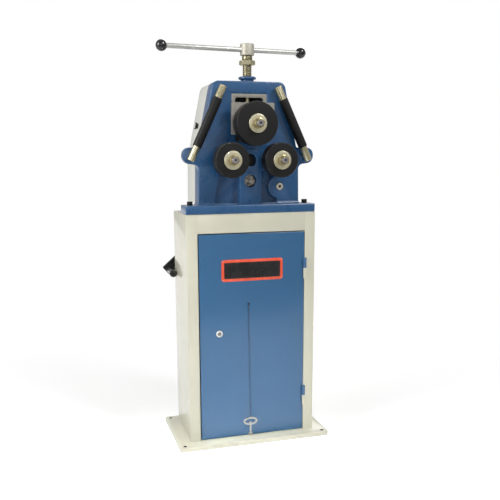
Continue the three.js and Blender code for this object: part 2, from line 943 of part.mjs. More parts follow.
// Concave fillet along the foot of the head's front face
function footBlend() {
  const steps = 5;
  const points = [new THREE.Vector2(headFaceY + overrun, flangeTop - overrun)];
  for (let step = 0; step <= steps; step += 1) {
    const angle = Math.PI / 2 * step / steps;
    points.push(new THREE.Vector2(
      headFaceY - footFillet + footFillet * Math.sin(angle),
      flangeTop + footFillet - footFillet * Math.cos(angle),
    ));
  }
  points.push(new THREE.Vector2(headFaceY + overrun, flangeTop + footFillet));
  points.splice(1, 0, new THREE.Vector2(headFaceY - footFillet, flangeTop - overrun));
  const half = headFootWidth / 2 - footFillet;
  return plateAlongX(points, -half, half);
}

function frontPocket(corners) {
  return plateAlongY(outline(corners), headFaceY - overrun - footFillet, headFaceY + frontPocketDepth);
}

function headCasting() {
  const floor = cabinetTop;
  const body = plateAlongY(headOutline(floor, headTop, 0, headTopRadius), headFaceY, headRearY);
  const flangeFront = headRearY - flangeDepth;
  const [fx, fr] = [flangeWidth / 2, flangeCornerRadius];
  const flange = plateAlongZ(outline([
    [-fx, flangeFront, fr],
    [fx, flangeFront, fr],
    [fx, headRearY, fr],
    [-fx, headRearY, fr],
  ]), floor, flangeTop);
  const shell = joined(body, flange, footBlend(), ear(-1), ear(1));

  const rearPocket = plateAlongY(
    headOutline(flangeTop + headWall, headTop - headWall, headWall, headTopRadius),
    headRearY - rearPocketDepth,
    headRearY + overrun,
  );
  const pocketFoot = flangeTop + frontPocketRise;
  const padHalf = centrePadWidth / 2;
  const leftPocket = frontPocket([
    [leftPocketFootX, pocketFoot, frontPocketRadius],
    [-padHalf, pocketFoot, frontPocketRadius],
    [-padHalf, frontPocketTop, 0],
    [leftPocketTopX, frontPocketTop, 0],
  ]);
  const rightPocket = frontPocket([
    [padHalf, pocketFoot, frontPocketRadius],
    [rightPocketFootX, pocketFoot, frontPocketRadius],
    [rightPocketFootX, crankShaftZ, 0],
    [lowerRollX, frontPocketTop, 0],
    [padHalf, frontPocketTop, 0],
  ]);
  const hollowed = cut(shell, rearPocket, leftPocket, rightPocket);

  const frameHalf = windowWidth / 2 + windowFrame;
  const windowWall = box(
    -frameHalf,
    frameHalf,
    headFaceY,
    headRearY,
    windowBottom - windowFrame,
    headTop - headWall,
  );
  const padColumn = plateAlongY(outline([
    [-padHalf, flangeTop - overrun, 0],
    [padHalf, flangeTop - overrun, 0],
    [padHalf, lowerRollZ + padHalf, padHalf * roundShare],
    [-padHalf, lowerRollZ + padHalf, padHalf * roundShare],
  ]), headFaceY - centrePadProud, headRearY);
  const bosses = [
    barAlongY(crankShaftX, crankShaftZ, crankBossRadius, headFaceY, headRearY, rollSides),
    barAlongZ(0, screwAxisY, screwBossNeckRadius, headTop - screwBossDrop, headTop + screwBossHeight),
    barAlongZ(
      0,
      screwAxisY,
      screwBossRadius,
      headTop + screwBossHeight - screwBossRim,
      headTop + screwBossHeight,
    ),
    ...[-1, 1].map((side) => barAlongY(
      side * lowerRollX,
      lowerRollZ,
      rollBossRadius,
      collarRearY + seatGap,
      headRearY,
      rollSides,
    )),
    ...pillarPlaces().map(([x, z]) => barAlongY(
      x,
      z,
      pillarBossRadius,
      headFaceY + frontPocketDepth,
      plateY,
    )),
  ];
  const filled = joined(hollowed, windowWall, padColumn, ...bosses);

  const windowHalf = windowWidth / 2;
  const rim = windowHalf + windowRim;
  const [wr, wb, wt] = [windowCornerRadius, windowBottom, windowTop];
  const window = plateAlongY(outline([
    [-windowHalf, wb, wr],
    [windowHalf, wb, wr],
    [windowHalf, wt, wr],
    [-windowHalf, wt, wr],
  ]), headFaceY - overrun, headRearY + overrun);
  const facing = box(
    -rim,
    rim,
    headFaceY - overrun,
    headFaceY + windowFacing,
    wb - windowRim / 2,
    wt + windowRim,
  );
  const bossTop = headTop + screwBossHeight;
  const openings = [
    window,
    facing,
    barAlongZ(0, screwAxisY, boreOf(pressNutRadius, seatGap), wt - overrun, bossTop + overrun),
    barAlongZ(0, screwAxisY, boreOf(pressNutFlangeRadius, seatGap), wt - overrun, wt + pressNutFlangeHeight),
    ...[-1, 1].map((side) => barAlongY(
      side * lowerRollX,
      lowerRollZ,
      boreOf(journalRadius, runGap),
      collarRearY - overrun,
      headRearY + overrun,
    )),
    ...[layShaftZ, lowerRollZ].map((z) => barAlongY(
      0,
      z,
      centreBoreRadius,
      headFaceY - centrePadProud - overrun,
      headRearY + overrun,
    )),
    barAlongY(
      crankShaftX,
      crankShaftZ,
      boreOf(crankShaftRadius, runGap),
      headFaceY - overrun,
      headRearY + overrun,
    ),
    ...studPlaces().map(([x, z]) => barAlongY(
      x,
      z,
      boreOf(studRadius, seatGap),
      headFaceY - overrun,
      headRearY + overrun,
    )),
    ...studPlaces().filter(([, z]) => z < headShoulderZ + headShoulderRadius).map(([x, z]) => barAlongY(
      x,
      z,
      boreOf(studHeadFlats / 2 / Math.cos(Math.PI / 6), seatGap),
      headFaceY + earThickness,
      headRearY + overrun,
    )),
    ...pillarPlaces().map(([x, z]) => barAlongY(
      x,
      z,
      boreOf(pillarScrewRadius, seatGap, smallSides),
      headRearY - pillarScrewGrip - seatGap,
      plateY + overrun,
      smallSides,
    )),
    ...[-1, 1].map((side) => barAlongZ(
      side * flangeScrewX,
      flangeScrewY,
      boreOf(flangeScrewRadius, seatGap),
      floor - overrun,
      flangeTop + overrun,
    )),
  ];
  return piece('head_casting', cut(filled, ...openings), bluePaint());
}

// Cap screws that clamp the flange to the cabinet's top, each with its nut below
function flangeScrew(name, side) {
  const headTopZ = flangeTop + seatGap + flangeScrewHeadHeight;
  const nutTop = cabinetTop - topSheet - seatGap;
  const screw = turnedAboutZ([
    [0, nutTop - flangeScrewTail],
    [flangeScrewRadius, nutTop - flangeScrewTail],
    [flangeScrewRadius, flangeTop + seatGap],
    [flangeScrewHeadRadius, flangeTop + seatGap],
    [flangeScrewHeadRadius, headTopZ],
    [flangeScrewSocket, headTopZ],
    [flangeScrewSocket, headTopZ - flangeScrewHeadHeight / 2],
    [0, headTopZ - flangeScrewHeadHeight / 2],
  ]);
  const lowerNut = plateAlongZ(hexagon(flangeNutFlats), nutTop - flangeNutThickness, nutTop);
  const fastener = joined(screw, lowerNut).translate(side * flangeScrewX, flangeScrewY, 0);
  return piece(name, fastener, blackOxide());
}

// Bronze nut of the press screw; its flange bears up against the window's ceiling
function pressNut() {
  const bore = boreOf(screwRadius, runGap);
  const bottom = windowTop + seatGap;
  const profile = [
    [bore, bottom],
    [pressNutFlangeRadius, bottom],
    [pressNutFlangeRadius, windowTop + pressNutFlangeHeight - seatGap],
    [pressNutRadius, windowTop + pressNutFlangeHeight - seatGap],
    [pressNutRadius, headTop + screwBossHeight - seatGap],
    [bore, headTop + screwBossHeight - seatGap],
  ];
  return piece('press_nut', turnedAboutZ(profile).translate(0, screwAxisY, 0), bronze());
}

// Rear bearing plate, its pillars and the gear cover

function pillarPlaces() {
  return [-1, 1].flatMap((side) => [
    [side * pillarX, pillarZ],
    [side * upperPillarX, upperPillarZ],
  ]);
}

function rearPlate() {
  const inset = coverSheet + plateGap;
  const edge = headOutline(coverBottom + inset, plateTop, inset, headTopRadius / 2);
  const holes = [
    ...[-1, 1].map((side) => circle(
      side * lowerRollX,
      lowerRollZ,
      boreOf(gearSeatRadius, runGap),
    )),
    circle(crankShaftX, crankShaftZ, boreOf(crankShaftRadius, runGap)),
    circle(0, layShaftZ, boreOf(layShaftRadius, runGap)),
    circle(0, lowerRollZ, boreOf(idlerPinRadius, seatGap)),
  ];
  const plate = plateAlongY(edge, plateY, plateRearY, holes);
  const screwHoles = [-1, 1].map((side) => coverScrewPlace(side, barAlongX(
    boreOf(coverScrewRadius, seatGap, smallSides),
    -coverScrewLength - seatGap,
    overrun,
  )));
  return piece('rear_plate', joined(cut(plate, ...screwHoles), ...plateScrews()), brightSteel());
}

// Cap screws that hold the plate on the casting's posts
function plateScrews() {
  const tail = headRearY - pillarScrewGrip;
  const headRear = plateRearY + pillarScrewHeadThickness;
  return pillarPlaces().map(([x, z]) => turnedAboutY([
    [0, tail],
    [pillarScrewRadius, tail],
    [pillarScrewRadius, plateRearY - seatGap],
    [pillarScrewHeadRadius, plateRearY - seatGap],
    [pillarScrewHeadRadius, headRear],
    [0, headRear],
  ], smallSides).translate(x, 0, z));
}

function barAlongX(radius, x0, x1, sides = smallSides) {
  const geometry = new THREE.CylinderGeometry(radius, radius, x1 - x0, sides);
  return geometry.rotateZ(Math.PI / 2).translate((x0 + x1) / 2, 0, 0);
}

// Moves a piece drawn along +X onto the slanted side of the cover, square to it
function coverScrewPlace(side, geometry) {
  const slope = (headShoulderWidth - headTopWidth) / 2 / (headTop - headShoulderZ);
  const halfWidth = headShoulderWidth / 2 - slope * (coverScrewZ - headShoulderZ);
  const turn = new THREE.Matrix4().makeRotationY(-Math.atan(slope));
  turn.setPosition(halfWidth, coverScrewY, coverScrewZ);
  geometry.applyMatrix4(turn);
  return side > 0 ? geometry : geometry.rotateZ(Math.PI).translate(0, 2 * coverScrewY, 0);
}

function coverScrew(name, side) {
  const screw = turnedAboutY([
    [0, -coverScrewLength],
    [coverScrewRadius, -coverScrewLength],
    [coverScrewRadius, seatGap],
    [coverHeadRadius, seatGap],
    [coverHeadRadius, coverHeadThickness],
    [0, coverHeadThickness],
  ], smallSides).rotateZ(-Math.PI / 2);
  return piece(name, coverScrewPlace(side, screw), blackOxide());
}

function gearCover() {
  const top = headTop - coverTopDrop;
  const outer = plateAlongY(
    headOutline(coverBottom, top, 0, headTopRadius),
    headRearY + seatGap,
    coverRearY,
  );
  const inner = plateAlongY(
    headOutline(coverBottom + coverSheet, top - coverSheet, coverSheet, headTopRadius - coverSheet),
    headRearY - overrun,
    coverRearY - coverSheet,
  );
  const shaftHole = barAlongY(
    crankShaftX,
    crankShaftZ,
    coverShaftHole,
    coverRearY - coverSheet - overrun,
    coverRearY + overrun,
  );
  const screwHoles = [-1, 1].map((side) => coverScrewPlace(side, barAlongX(
    boreOf(coverScrewRadius, seatGap, smallSides),
    -coverSheet - overrun,
    overrun,
  )));
  return piece('gear_cover', cut(outer, inner, shaftHole, ...screwHoles), creamPaint());
}

// Side guide rolls

const guideLength = Math.hypot(guideFootX - guideTopX, guideTopZ - guideFootZ);
const guideTilt = Math.atan2(guideFootX - guideTopX, guideTopZ - guideFootZ);

// Places of the studs that carry the rods, near both ends of each rod
function studPlaces() {
  return [-1, 1].flatMap((side) => [studInset, guideLength - studInset].map((along) => [
    side * (guideTopX + along * Math.sin(guideTilt)),
    guideTopZ - along * Math.cos(guideTilt),
  ]));
}

// Bolt from behind the casting that holds a rod's post against its face
function guideBolt(name, along, castingRear) {
  const rear = castingRear - guideAxisY + seatGap + studHeadThickness;
  const shank = turnedAboutY([
    [0, seatGap],
    [studRadius, seatGap],
    [studRadius, rear],
    [0, rear],
  ], smallSides);
  const head = plateAlongY(hexagon(studHeadFlats), rear - studHeadThickness, rear);
  return piece(name, joined(shank, head).translate(0, 0, -along), zincPlate());
}

// A rod and its sleeve are drawn hanging down from the rod's top end, then tilted outward
function guideRoll(name, side) {
  const end = guideRodRadius - rodChamfer;
  const rod = turnedAboutZ([
    [0, -guideLength],
    [end, -guideLength],
    [guideRodRadius, rodChamfer - guideLength],
    [guideRodRadius, -rodChamfer],
    [end, 0],
    [0, 0],
  ]);
  const postEnd = headFaceY - seatGap - guideAxisY;
  const posts = [studInset, guideLength - studInset].map(
    (along) => barAlongY(0, -along, postRadius, 0, postEnd, smallSides),
  );
  const boltHoles = [studInset, guideLength - studInset].map((along) => barAlongY(
    0,
    -along,
    boreOf(studRadius, seatGap, smallSides),
    0,
    postEnd + overrun,
    smallSides,
  ));
  const bottom = -sleeveTopOffset - sleeveLength;
  const bore = boreOf(guideRodRadius, runGap);
  const sleeve = turnedAboutZ([
    [bore, bottom],
    [guideSleeveRadius - rodChamfer / 2, bottom],
    [guideSleeveRadius, bottom + rodChamfer],
    [guideSleeveRadius, -sleeveTopOffset - rodChamfer],
    [guideSleeveRadius - rodChamfer / 2, -sleeveTopOffset],
    [bore, -sleeveTopOffset],
  ]);
  const roll = group(
    piece(`guide_rod_${name}`, cut(joined(rod, ...posts), ...boltHoles), zincPlate()),
    piece(`guide_sleeve_${name}`, sleeve, blackOxide()),
    guideBolt(`guide_bolt_${name}_upper`, studInset, headRearY - rearPocketDepth),
    guideBolt(`guide_bolt_${name}_lower`, guideLength - studInset, headFaceY + earThickness),
  );
  roll.position.set(side * guideTopX, guideAxisY, guideTopZ);
  roll.rotation.y = -side * guideTilt;
  return roll;
}

// Rolls and their shafts, each drawn about its own axis

function roll(name, radius) {
  const bore = boreOf(rollBoreRadius, seatGap);
  const body = turnedAboutY([
    [bore, rollFrontY],
    [radius - rollChamfer, rollFrontY],
    [radius, rollFrontY + rollChamfer],
    [radius, rollRearY - rollChamfer],
    [radius - rollChamfer, rollRearY],
    [bore, rollRearY],
  ], rollSides);
  const keyway = box(
    -keyWidth / 2 - seatGap,
    keyWidth / 2 + seatGap,
    rollFrontY - overrun,
    rollRearY + overrun,
    0,
    rollBoreRadius + keyHeight / 2 + seatGap,
  );
  return piece(name, cut(body, keyway), blackOxide());
}

function rollSeatProfile() {
  const seatFront = rollFrontY + seatGap;
  return [
    [0, shaftFrontY + centreDrillDepth],
    [centreDrillRadius, shaftFrontY],
    [threadRadius - shaftEndChamfer, shaftFrontY],
    [threadRadius, shaftFrontY + shaftEndChamfer],
    [threadRadius, seatFront],
    [rollBoreRadius, seatFront],
    [rollBoreRadius, rollRearY + seatGap],
    [collarRadius, rollRearY + seatGap],
    [collarRadius, collarRearY],
    [journalRadius, collarRearY],
  ];
}

// Key that sits in the shaft and drives the roll
function rollKey() {
  const front = (rollFrontY + rollRearY - keyLength) / 2;
  return box(
    -keyWidth / 2,
    keyWidth / 2,
    front,
    front + keyLength,
    rollBoreRadius - keyHeight / 2,
    rollBoreRadius + keyHeight / 2,
  );
}

// Washer and nut that hold a roll on its shaft
function rollFasteners(name) {
  const bore = boreOf(threadRadius, seatGap);
  const washer = turnedAboutY([
    [bore, washerFrontY],
    [washerRadius, washerFrontY],
    [washerRadius, rollFrontY - seatGap],
    [bore, rollFrontY - seatGap],
  ]);
  const frontNut = nut(rollNutFlats, bore, nutFrontY, nutFrontY + rollNutThickness);
  return [
    piece(`${name}_washer`, washer, zincPlate()),
    piece(`${name}_nut`, frontNut, zincPlate()),
  ];
}

function lowerRollUnit(name, side, phase) {
  const end = plateRearY + seatGap + gearNutThickness + shaftEndChamfer;
  const shaft = turnedAboutY([
    ...rollSeatProfile(),
    [journalRadius, frontGearY - seatGap],
    [gearSeatRadius, frontGearY - seatGap],
    [gearSeatRadius, end],
    [0, end],
  ]);
  const rearNut = plateAlongY(
    hexagon(gearNutFlats),
    plateRearY + seatGap,
    plateRearY + seatGap + gearNutThickness,
  );
  const wheel = gear(rollGearTeeth, phase, frontGearY, boreOf(gearSeatRadius, seatGap));
  const unit = group(
    piece(`lower_shaft_${name}`, joined(shaft, rollKey(), rearNut), brightSteel()),
    roll(`lower_roll_${name}`, lowerRollRadius),
    ...rollFasteners(`lower_${name}`),
    piece(`roll_gear_${name}`, wheel, brightSteel()),
  );
  unit.position.set(side * lowerRollX, 0, lowerRollZ);
  return unit;
}

const keeperFrontY = headRearY + seatGap;
const keeperRearY = keeperFrontY + keeperThickness;

function topRollUnit() {
  const end = keeperRearY + seatGap + topNutThickness + shaftEndChamfer;
  const shaft = turnedAboutY([
    ...rollSeatProfile(),
    [journalRadius, end],
    [0, end],
  ]);
  const rearNut = plateAlongY(
    hexagon(topNutFlats),
    keeperRearY + seatGap,
    keeperRearY + seatGap + topNutThickness,
  );
  const unit = group(
    piece('top_shaft', joined(shaft, rollKey(), rearNut), brightSteel()),
    roll('top_roll', topRollRadius),
    ...rollFasteners('top'),
  );
  unit.position.set(0, 0, topRollZ);
  return unit;
}

// Slide block: a neck that runs in the window, a wide front plate and a rear keeper plate

function keeperScrewPlaces() {
  const x = windowWidth / 2 - keeperScrewInset;
  return [-1, 1].flatMap((side) => [
    [side * x, blockTop - keeperScrewInset],
    [side * x, blockBottom + keeperScrewInset],
  ]);
}

// Slot that opens to the rear, with a round end about the screw's axis
function screwSlot(radius, z0, z1) {
  const [end, round] = [screwAxisY - radius, radius * roundShare];
  return plateAlongZ(outline([
    [-radius, end, round],
    [radius, end, round],
    [radius, headRearY + overrun, 0],
    [-radius, headRearY + overrun, 0],
  ]), z0, z1);
}

function slideBlock() {
  const half = windowWidth / 2 - slideGap;
  const plateRear = blockFrontY + blockPlateThickness;
  const [px, edge] = [blockPlateWidth / 2, blockEdge];
  const plate = plateAlongY(outline([
    [-px, blockBottom, edge],
    [px, blockBottom, edge],
    [px, blockTop, edge],
    [-px, blockTop, edge],
  ]), blockFrontY, plateRear);
  const round = windowCornerRadius;
  const neck = plateAlongY(outline([
    [-half, blockBottom, round],
    [half, blockBottom, round],
    [half, blockTop, round],
    [-half, blockTop, round],
  ]), plateRear - overrun, headRearY);
  const slotFloor = buttonBottom - seatGap;
  const holes = [
    barAlongY(
      0,
      topRollZ,
      boreOf(journalRadius, runGap),
      blockFrontY - overrun,
      headRearY + overrun,
    ),
    screwSlot(boreOf(screwNeckRadius, runGap), slotFloor, blockTop + overrun),
    screwSlot(boreOf(buttonRadius, runGap), slotFloor, buttonTop + runGap),
    ...keeperScrewPlaces().map(([x, z]) => barAlongY(
      x,
      z,
      boreOf(keeperScrewRadius, seatGap, smallSides),
      headRearY - keeperScrewLength,
      headRearY + overrun,
      smallSides,
    )),
  ];
  return piece('slide_block', cut(joined(plate, neck), ...holes), brightSteel());
}

// Plate that keeps the block in the window from behind, with its four cap screws
function blockKeeper() {
  const x = windowWidth / 2 + keeperMargin;
  const [z0, z1, edge] = [blockBottom, blockTop, blockEdge];
  const keeper = plateAlongY(
    outline([[-x, z0, edge], [x, z0, edge], [x, z1, edge], [-x, z1, edge]]),
    keeperFrontY,
    keeperRearY,
    [circle(0, topRollZ, boreOf(journalRadius, runGap))],
  );
  const screws = keeperScrewPlaces().map(([sx, sz]) => turnedAboutY([
    [0, headRearY - keeperScrewLength + seatGap],
    [keeperScrewRadius, headRearY - keeperScrewLength + seatGap],
    [keeperScrewRadius, keeperRearY - seatGap],
    [keeperHeadRadius, keeperRearY - seatGap],
    [keeperHeadRadius, keeperRearY + keeperHeadThickness],
    [0, keeperRearY + keeperHeadThickness],
  ], smallSides).translate(sx, 0, sz));
  return piece('block_keeper', joined(keeper, ...screws), brightSteel());
}

// Press screw with its hub, lock nut and sliding bar, drawn about the screw's axis

function pressScrew() {
  const screw = turnedAboutZ([
    [0, buttonBottom],
    [buttonRadius, buttonBottom],
    [buttonRadius, buttonTop],
    [screwNeckRadius, buttonTop],
    [screwNeckRadius, screwShoulderZ],
    [screwRadius, screwShoulderZ + hubChamfer],
    [screwRadius, neckZ],
    [neckRadius, neckZ],
    [neckRadius, hubZ],
    [hubRadius - hubChamfer, hubZ],
    [hubRadius, hubZ + hubChamfer],
    [hubRadius, hubTop - hubChamfer],
    [hubRadius - hubChamfer, hubTop],
    [0, hubTop],
  ]);
  const crossHole = barAlongX(
    boreOf(barRadius, slideGap),
    -hubRadius - overrun,
    hubRadius + overrun,
    turnedSides,
  ).translate(0, 0, barZ);
  return piece('press_screw', cut(screw, crossHole), zincPlate());
}

function lockNut() {
  const ring = plateAlongZ(
    hexagon(lockNutFlats),
    lockNutZ,
    lockNutZ + lockNutThickness,
    [circle(0, 0, boreOf(screwRadius, runGap))],
  );
  return piece('lock_nut', ring, zincPlate());
}

// The bar's ends are held in blind holes of the two balls
function slidingBar() {
  const bar = barAlongX(
    barRadius,
    -barLeftReach + seatGap,
    barRightReach - seatGap,
    turnedSides,
  ).translate(0, 0, barZ);
  const flat = Math.sqrt(ballRadius ** 2 - (barRadius + ballFlat) ** 2);
  const balls = [[-barLeftReach, 1], [barRightReach, -1]].map(([x, inward]) => {
    const sphere = new THREE.SphereGeometry(ballRadius, turnedSides, turnedSides / 2);
    const hole = barAlongX(
      boreOf(barRadius, seatGap),
      Math.min(0, inward * ballRadius * 2),
      Math.max(0, inward * ballRadius * 2),
      turnedSides,
    );
    const trim = box(
      Math.min(inward * flat, inward * ballRadius * 2),
      Math.max(inward * flat, inward * ballRadius * 2),
      -ballRadius,
      ballRadius,
      -ballRadius,
      ballRadius,
    );
    return cut(sphere.rotateZ(Math.PI / 2), hole, trim).translate(x, 0, barZ);
  });
  return [
    piece('tommy_bar', bar, brightSteel()),
    piece('bar_ball_left', balls[0], blackPlastic()),
    piece('bar_ball_right', balls[1], blackPlastic()),
  ];
}

function pressUnit() {
  const handle = group(pressScrew(), lockNut(), ...slidingBar());
  handle.position.set(0, screwAxisY, 0);
  handle.rotation.z = THREE.MathUtils.degToRad(barTurnDegrees);
  return handle;
}

// Gear train

const crankLine = Math.atan2(layShaftZ - crankShaftZ, -crankShaftX);
const wheelPhase = meshPhase(crankTeeth, 0, wheelTeeth, crankLine);
const idlerPhase = meshPhase(layTeeth, 0, idlerTeeth, Math.PI / 2);
const rightGearPhase = meshPhase(idlerTeeth, idlerPhase, rollGearTeeth, 0);
const leftGearPhase = meshPhase(idlerTeeth, idlerPhase, rollGearTeeth, Math.PI);

function layshaft() {
  const seat = rearGearY + gearWidth;
  const end = seat + seatGap + layNutThickness;
  const journal = pinIn(centreBoreRadius, runGap);
  const shaft = turnedAboutY([
    [0, layShaftFrontY],
    [journal - shaftEndChamfer, layShaftFrontY],
    [journal, layShaftFrontY + shaftEndChamfer],
    [journal, headRearY + seatGap],
    [layShaftRadius, headRearY + seatGap],
    [layShaftRadius, seat + seatGap],
    [layNutRadius, seat + seatGap],
    [layNutRadius, end],
    [0, end],
  ]);
  const pinion = plateAlongY(gearOutline(layTeeth, 0), frontGearY, gearRearY);
  const wheel = gear(wheelTeeth, wheelPhase, rearGearY, boreOf(layShaftRadius, seatGap));
  const unit = group(
    piece('layshaft', joined(shaft, pinion), brightSteel()),
    piece('layshaft_wheel', wheel, brightSteel()),
  );
  unit.position.set(0, 0, layShaftZ);
  return unit;
}

// Fixed stud in the casting's upper bore, with the idler gear running on it
function idler() {
  const seat = pinIn(centreBoreRadius, seatGap);
  const stud = turnedAboutY([
    [0, idlerStudFrontY],
    [seat, idlerStudFrontY],
    [seat, headRearY + seatGap],
    [layShaftRadius, headRearY + seatGap],
    [layShaftRadius, plateY - seatGap],
    [idlerPinRadius, plateY - seatGap],
    [idlerPinRadius, plateRearY],
    [0, plateRearY],
  ]);
  const wheel = gear(idlerTeeth, idlerPhase, frontGearY, boreOf(layShaftRadius, runGap));
  const unit = group(
    piece('idler_stud', stud, brightSteel()),
    piece('idler_gear', wheel, brightSteel()),
  );
  unit.position.set(0, 0, lowerRollZ);
  return unit;
}

// Crank: drawn about the input shaft with its arm along -X, then turned down to its rest

function crankArm() {
  const half = crankArmWidth / 2;
  const endX = -crankRadius - crankArmEnd;
  const arm = plateAlongY(outline([
    [endX, -half, crankArmCorner],
    [0, -half, 0],
    [0, half, 0],
    [endX, half, crankArmCorner],
  ]), crankArmY, crankArmRearY);
  const hub = barAlongY(0, 0, crankHubRadius, crankArmRearY - crankHubWidth, crankArmRearY);
  const bores = [
    barAlongY(0, 0, boreOf(crankShaftRadius, seatGap), crankArmY - crankHubWidth, crankArmRearY + overrun),
    barAlongY(-crankRadius, 0, boreOf(spindleRadius, seatGap), crankArmY - overrun, crankArmRearY + overrun),
  ];
  return piece('crank_arm', cut(joined(arm, hub), ...bores), blackOxide());
}

function crankUnit() {
  const shaftEnd = crankArmRearY + crankShaftProud;
  const shaft = turnedAboutY([
    [0, headFaceY - 2 * shaftEndChamfer + centreDrillDepth],
    [centreDrillRadius, headFaceY - 2 * shaftEndChamfer],
    [crankShaftRadius - shaftEndChamfer, headFaceY - 2 * shaftEndChamfer],
    [crankShaftRadius, headFaceY - shaftEndChamfer],
    [crankShaftRadius, shaftEnd - shaftEndChamfer],
    [crankShaftRadius - shaftEndChamfer, shaftEnd],
    [0, shaftEnd],
  ]);
  const gripRear = crankArmY - runGap;
  const gripFront = gripRear - gripLength;
  const capFront = gripFront - gripCapLength;
  const spindleEnd = crankArmRearY + seatGap + spindleNutThickness + shaftEndChamfer;
  const spindle = turnedAboutY([
    [0, capFront + gripCapCrown],
    [spindleRadius, capFront + gripCapCrown],
    [spindleRadius, spindleEnd],
    [0, spindleEnd],
  ], smallSides);
  const rearNut = plateAlongY(
    hexagon(spindleNutFlats),
    crankArmRearY + seatGap,
    crankArmRearY + seatGap + spindleNutThickness,
  );
  const sleeve = tube(boreOf(spindleRadius, runGap), gripRadius, gripFront, gripRear);
  const cap = turnedAboutY([
    [0, capFront],
    [gripCapRadius - gripCapCrown, capFront],
    [gripCapRadius, capFront + gripCapCrown],
    [gripCapRadius, gripFront - seatGap],
    [boreOf(spindleRadius, runGap), gripFront - seatGap],
    [boreOf(spindleRadius, runGap), capFront + gripCapCrown - runGap],
    [0, capFront + gripCapCrown - runGap],
  ]);
  const grip = group(
    piece('grip_spindle', joined(spindle, rearNut), brightSteel()),
    piece('grip_sleeve', sleeve, brightSteel()),
    piece('grip_cap', cap, blackPlastic()),
  );
  grip.position.set(-crankRadius, 0, 0);
  const arm = group(crankArm(), grip);
  arm.rotation.y = -crankAngle;
  const pinion = gear(crankTeeth, 0, rearGearY, boreOf(crankShaftRadius, seatGap));
  const unit = group(
    piece('crank_shaft', shaft, zincPlate()),
    piece('crank_pinion', pinion, brightSteel()),
    arm,
  );
  unit.position.set(crankShaftX, 0, crankShaftZ);
  return unit;
}

const ringRoller = group(
  basePlate(),
  ...sidePanels(),
  backPanel(),
  topPanel(),
  doorHeader(),
  doorPanel(),
  doorLock(),
  stringRivet(),
  keyString(),
  doorKey(),
  headCasting(),
  flangeScrew('flange_screw_left', -1),
  flangeScrew('flange_screw_right', 1),
  pressNut(),
  rearPlate(),
  gearCover(),
  coverScrew('cover_screw_left', -1),
  coverScrew('cover_screw_right', 1),
  guideRoll('left', -1),
  guideRoll('right', 1),
  lowerRollUnit('left', -1, leftGearPhase),
  lowerRollUnit('right', 1, rightGearPhase),
  topRollUnit(),
  slideBlock(),
  blockKeeper(),
  pressUnit(),
  layshaft(),
  idler(),
  crankUnit(),
);

export default ringRoller;
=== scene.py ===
"""Ring roller: a cast head with three rolls, a screw press with a sliding bar and two side
guide rolls, on a sheet-metal cabinet with a locked door.

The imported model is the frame. Shapes are drawn in millimetres and become meshes in metres,
in the frame's own axes: +X to the right as the camera sees the front, +Y back, +Z up."""

import math

import bmesh
import bpy
from bpy.props import FloatProperty, FloatVectorProperty, PointerProperty
from mathutils import Matrix, Vector
from mathutils.geometry import tessellate_polygon


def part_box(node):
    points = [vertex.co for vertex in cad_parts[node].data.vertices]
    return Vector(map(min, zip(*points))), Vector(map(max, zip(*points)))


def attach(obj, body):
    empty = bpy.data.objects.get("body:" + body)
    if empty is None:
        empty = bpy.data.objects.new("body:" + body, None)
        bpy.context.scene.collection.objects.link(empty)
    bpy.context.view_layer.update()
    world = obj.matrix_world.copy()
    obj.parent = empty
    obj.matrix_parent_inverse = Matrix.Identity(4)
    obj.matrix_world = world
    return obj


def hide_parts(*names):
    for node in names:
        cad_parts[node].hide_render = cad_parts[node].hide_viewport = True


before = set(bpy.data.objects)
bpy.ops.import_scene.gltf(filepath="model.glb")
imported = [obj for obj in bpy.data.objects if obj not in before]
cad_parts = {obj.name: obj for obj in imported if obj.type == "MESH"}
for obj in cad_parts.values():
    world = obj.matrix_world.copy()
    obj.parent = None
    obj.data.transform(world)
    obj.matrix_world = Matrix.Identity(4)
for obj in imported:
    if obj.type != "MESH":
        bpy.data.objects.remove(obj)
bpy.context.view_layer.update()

bl_info = {
    "name": "Ring Roller",
    "version": (1, 0, 0),
    "blender": (4, 5, 0),
    "location": "View3D > Sidebar > Ring Roller",
    "description": "Builds the pieces, finishes and studio of a cabinet ring roller",
    "category": "Object",
}

MM = 0.001
UPRIGHT = Matrix.Rotation(math.radians(90), 4, "X")
LEFT_AND_RIGHT = ((-1, "left"), (1, "right"))
SOFT_ANGLE = 38


# Outlines: lists of (x, y) in millimetres, counterclockwise

def rounded(corners, step=9):
    """Closed outline through (x, y, radius) corners, each rounded by its radius."""
    points = []
    for i, (x, y, radius) in enumerate(corners):
        if radius <= 0:
            points.append((x, y))
            continue
        here = Vector((x, y))
        to_last = (Vector(corners[i - 1][:2]) - here).normalized()
        to_next = (Vector(corners[(i + 1) % len(corners)][:2]) - here).normalized()
        half = to_last.angle(to_next) / 2
        centre = here + (to_last + to_next).normalized() * (radius / math.sin(half))
        start = here + to_last * (radius / math.tan(half)) - centre
        turn = math.pi - 2 * half
        if to_last.x * to_next.y - to_last.y * to_next.x > 0:
            turn = -turn
        steps = max(2, round(abs(math.degrees(turn)) / step))
        for k in range(steps + 1):
            c, s = math.cos(turn * k / steps), math.sin(turn * k / steps)
            points.append((centre.x + c * start.x - s * start.y,
                           centre.y + s * start.x + c * start.y))
    return counterclockwise(points)


def counterclockwise(points):
    area = sum(a[0] * b[1] - b[0] * a[1] for a, b in zip(points, points[1:] + points[:1]))
    return list(points) if area > 0 else list(reversed(points))


def rectangle(x0, y0, x1, y1, radius=0.0):
    return rounded([(x0, y0, radius), (x1, y0, radius), (x1, y1, radius), (x0, y1, radius)])


def arc(x, y, radius, first, last, steps):
    turns = [first + (last - first) * k / steps for k in range(steps + 1)]
    return [(x + radius * math.cos(a), y + radius * math.sin(a)) for a in turns]


def disc(x, y, radius, sides=40):
    return arc(x, y, radius, 0, math.tau, sides)[:-1]


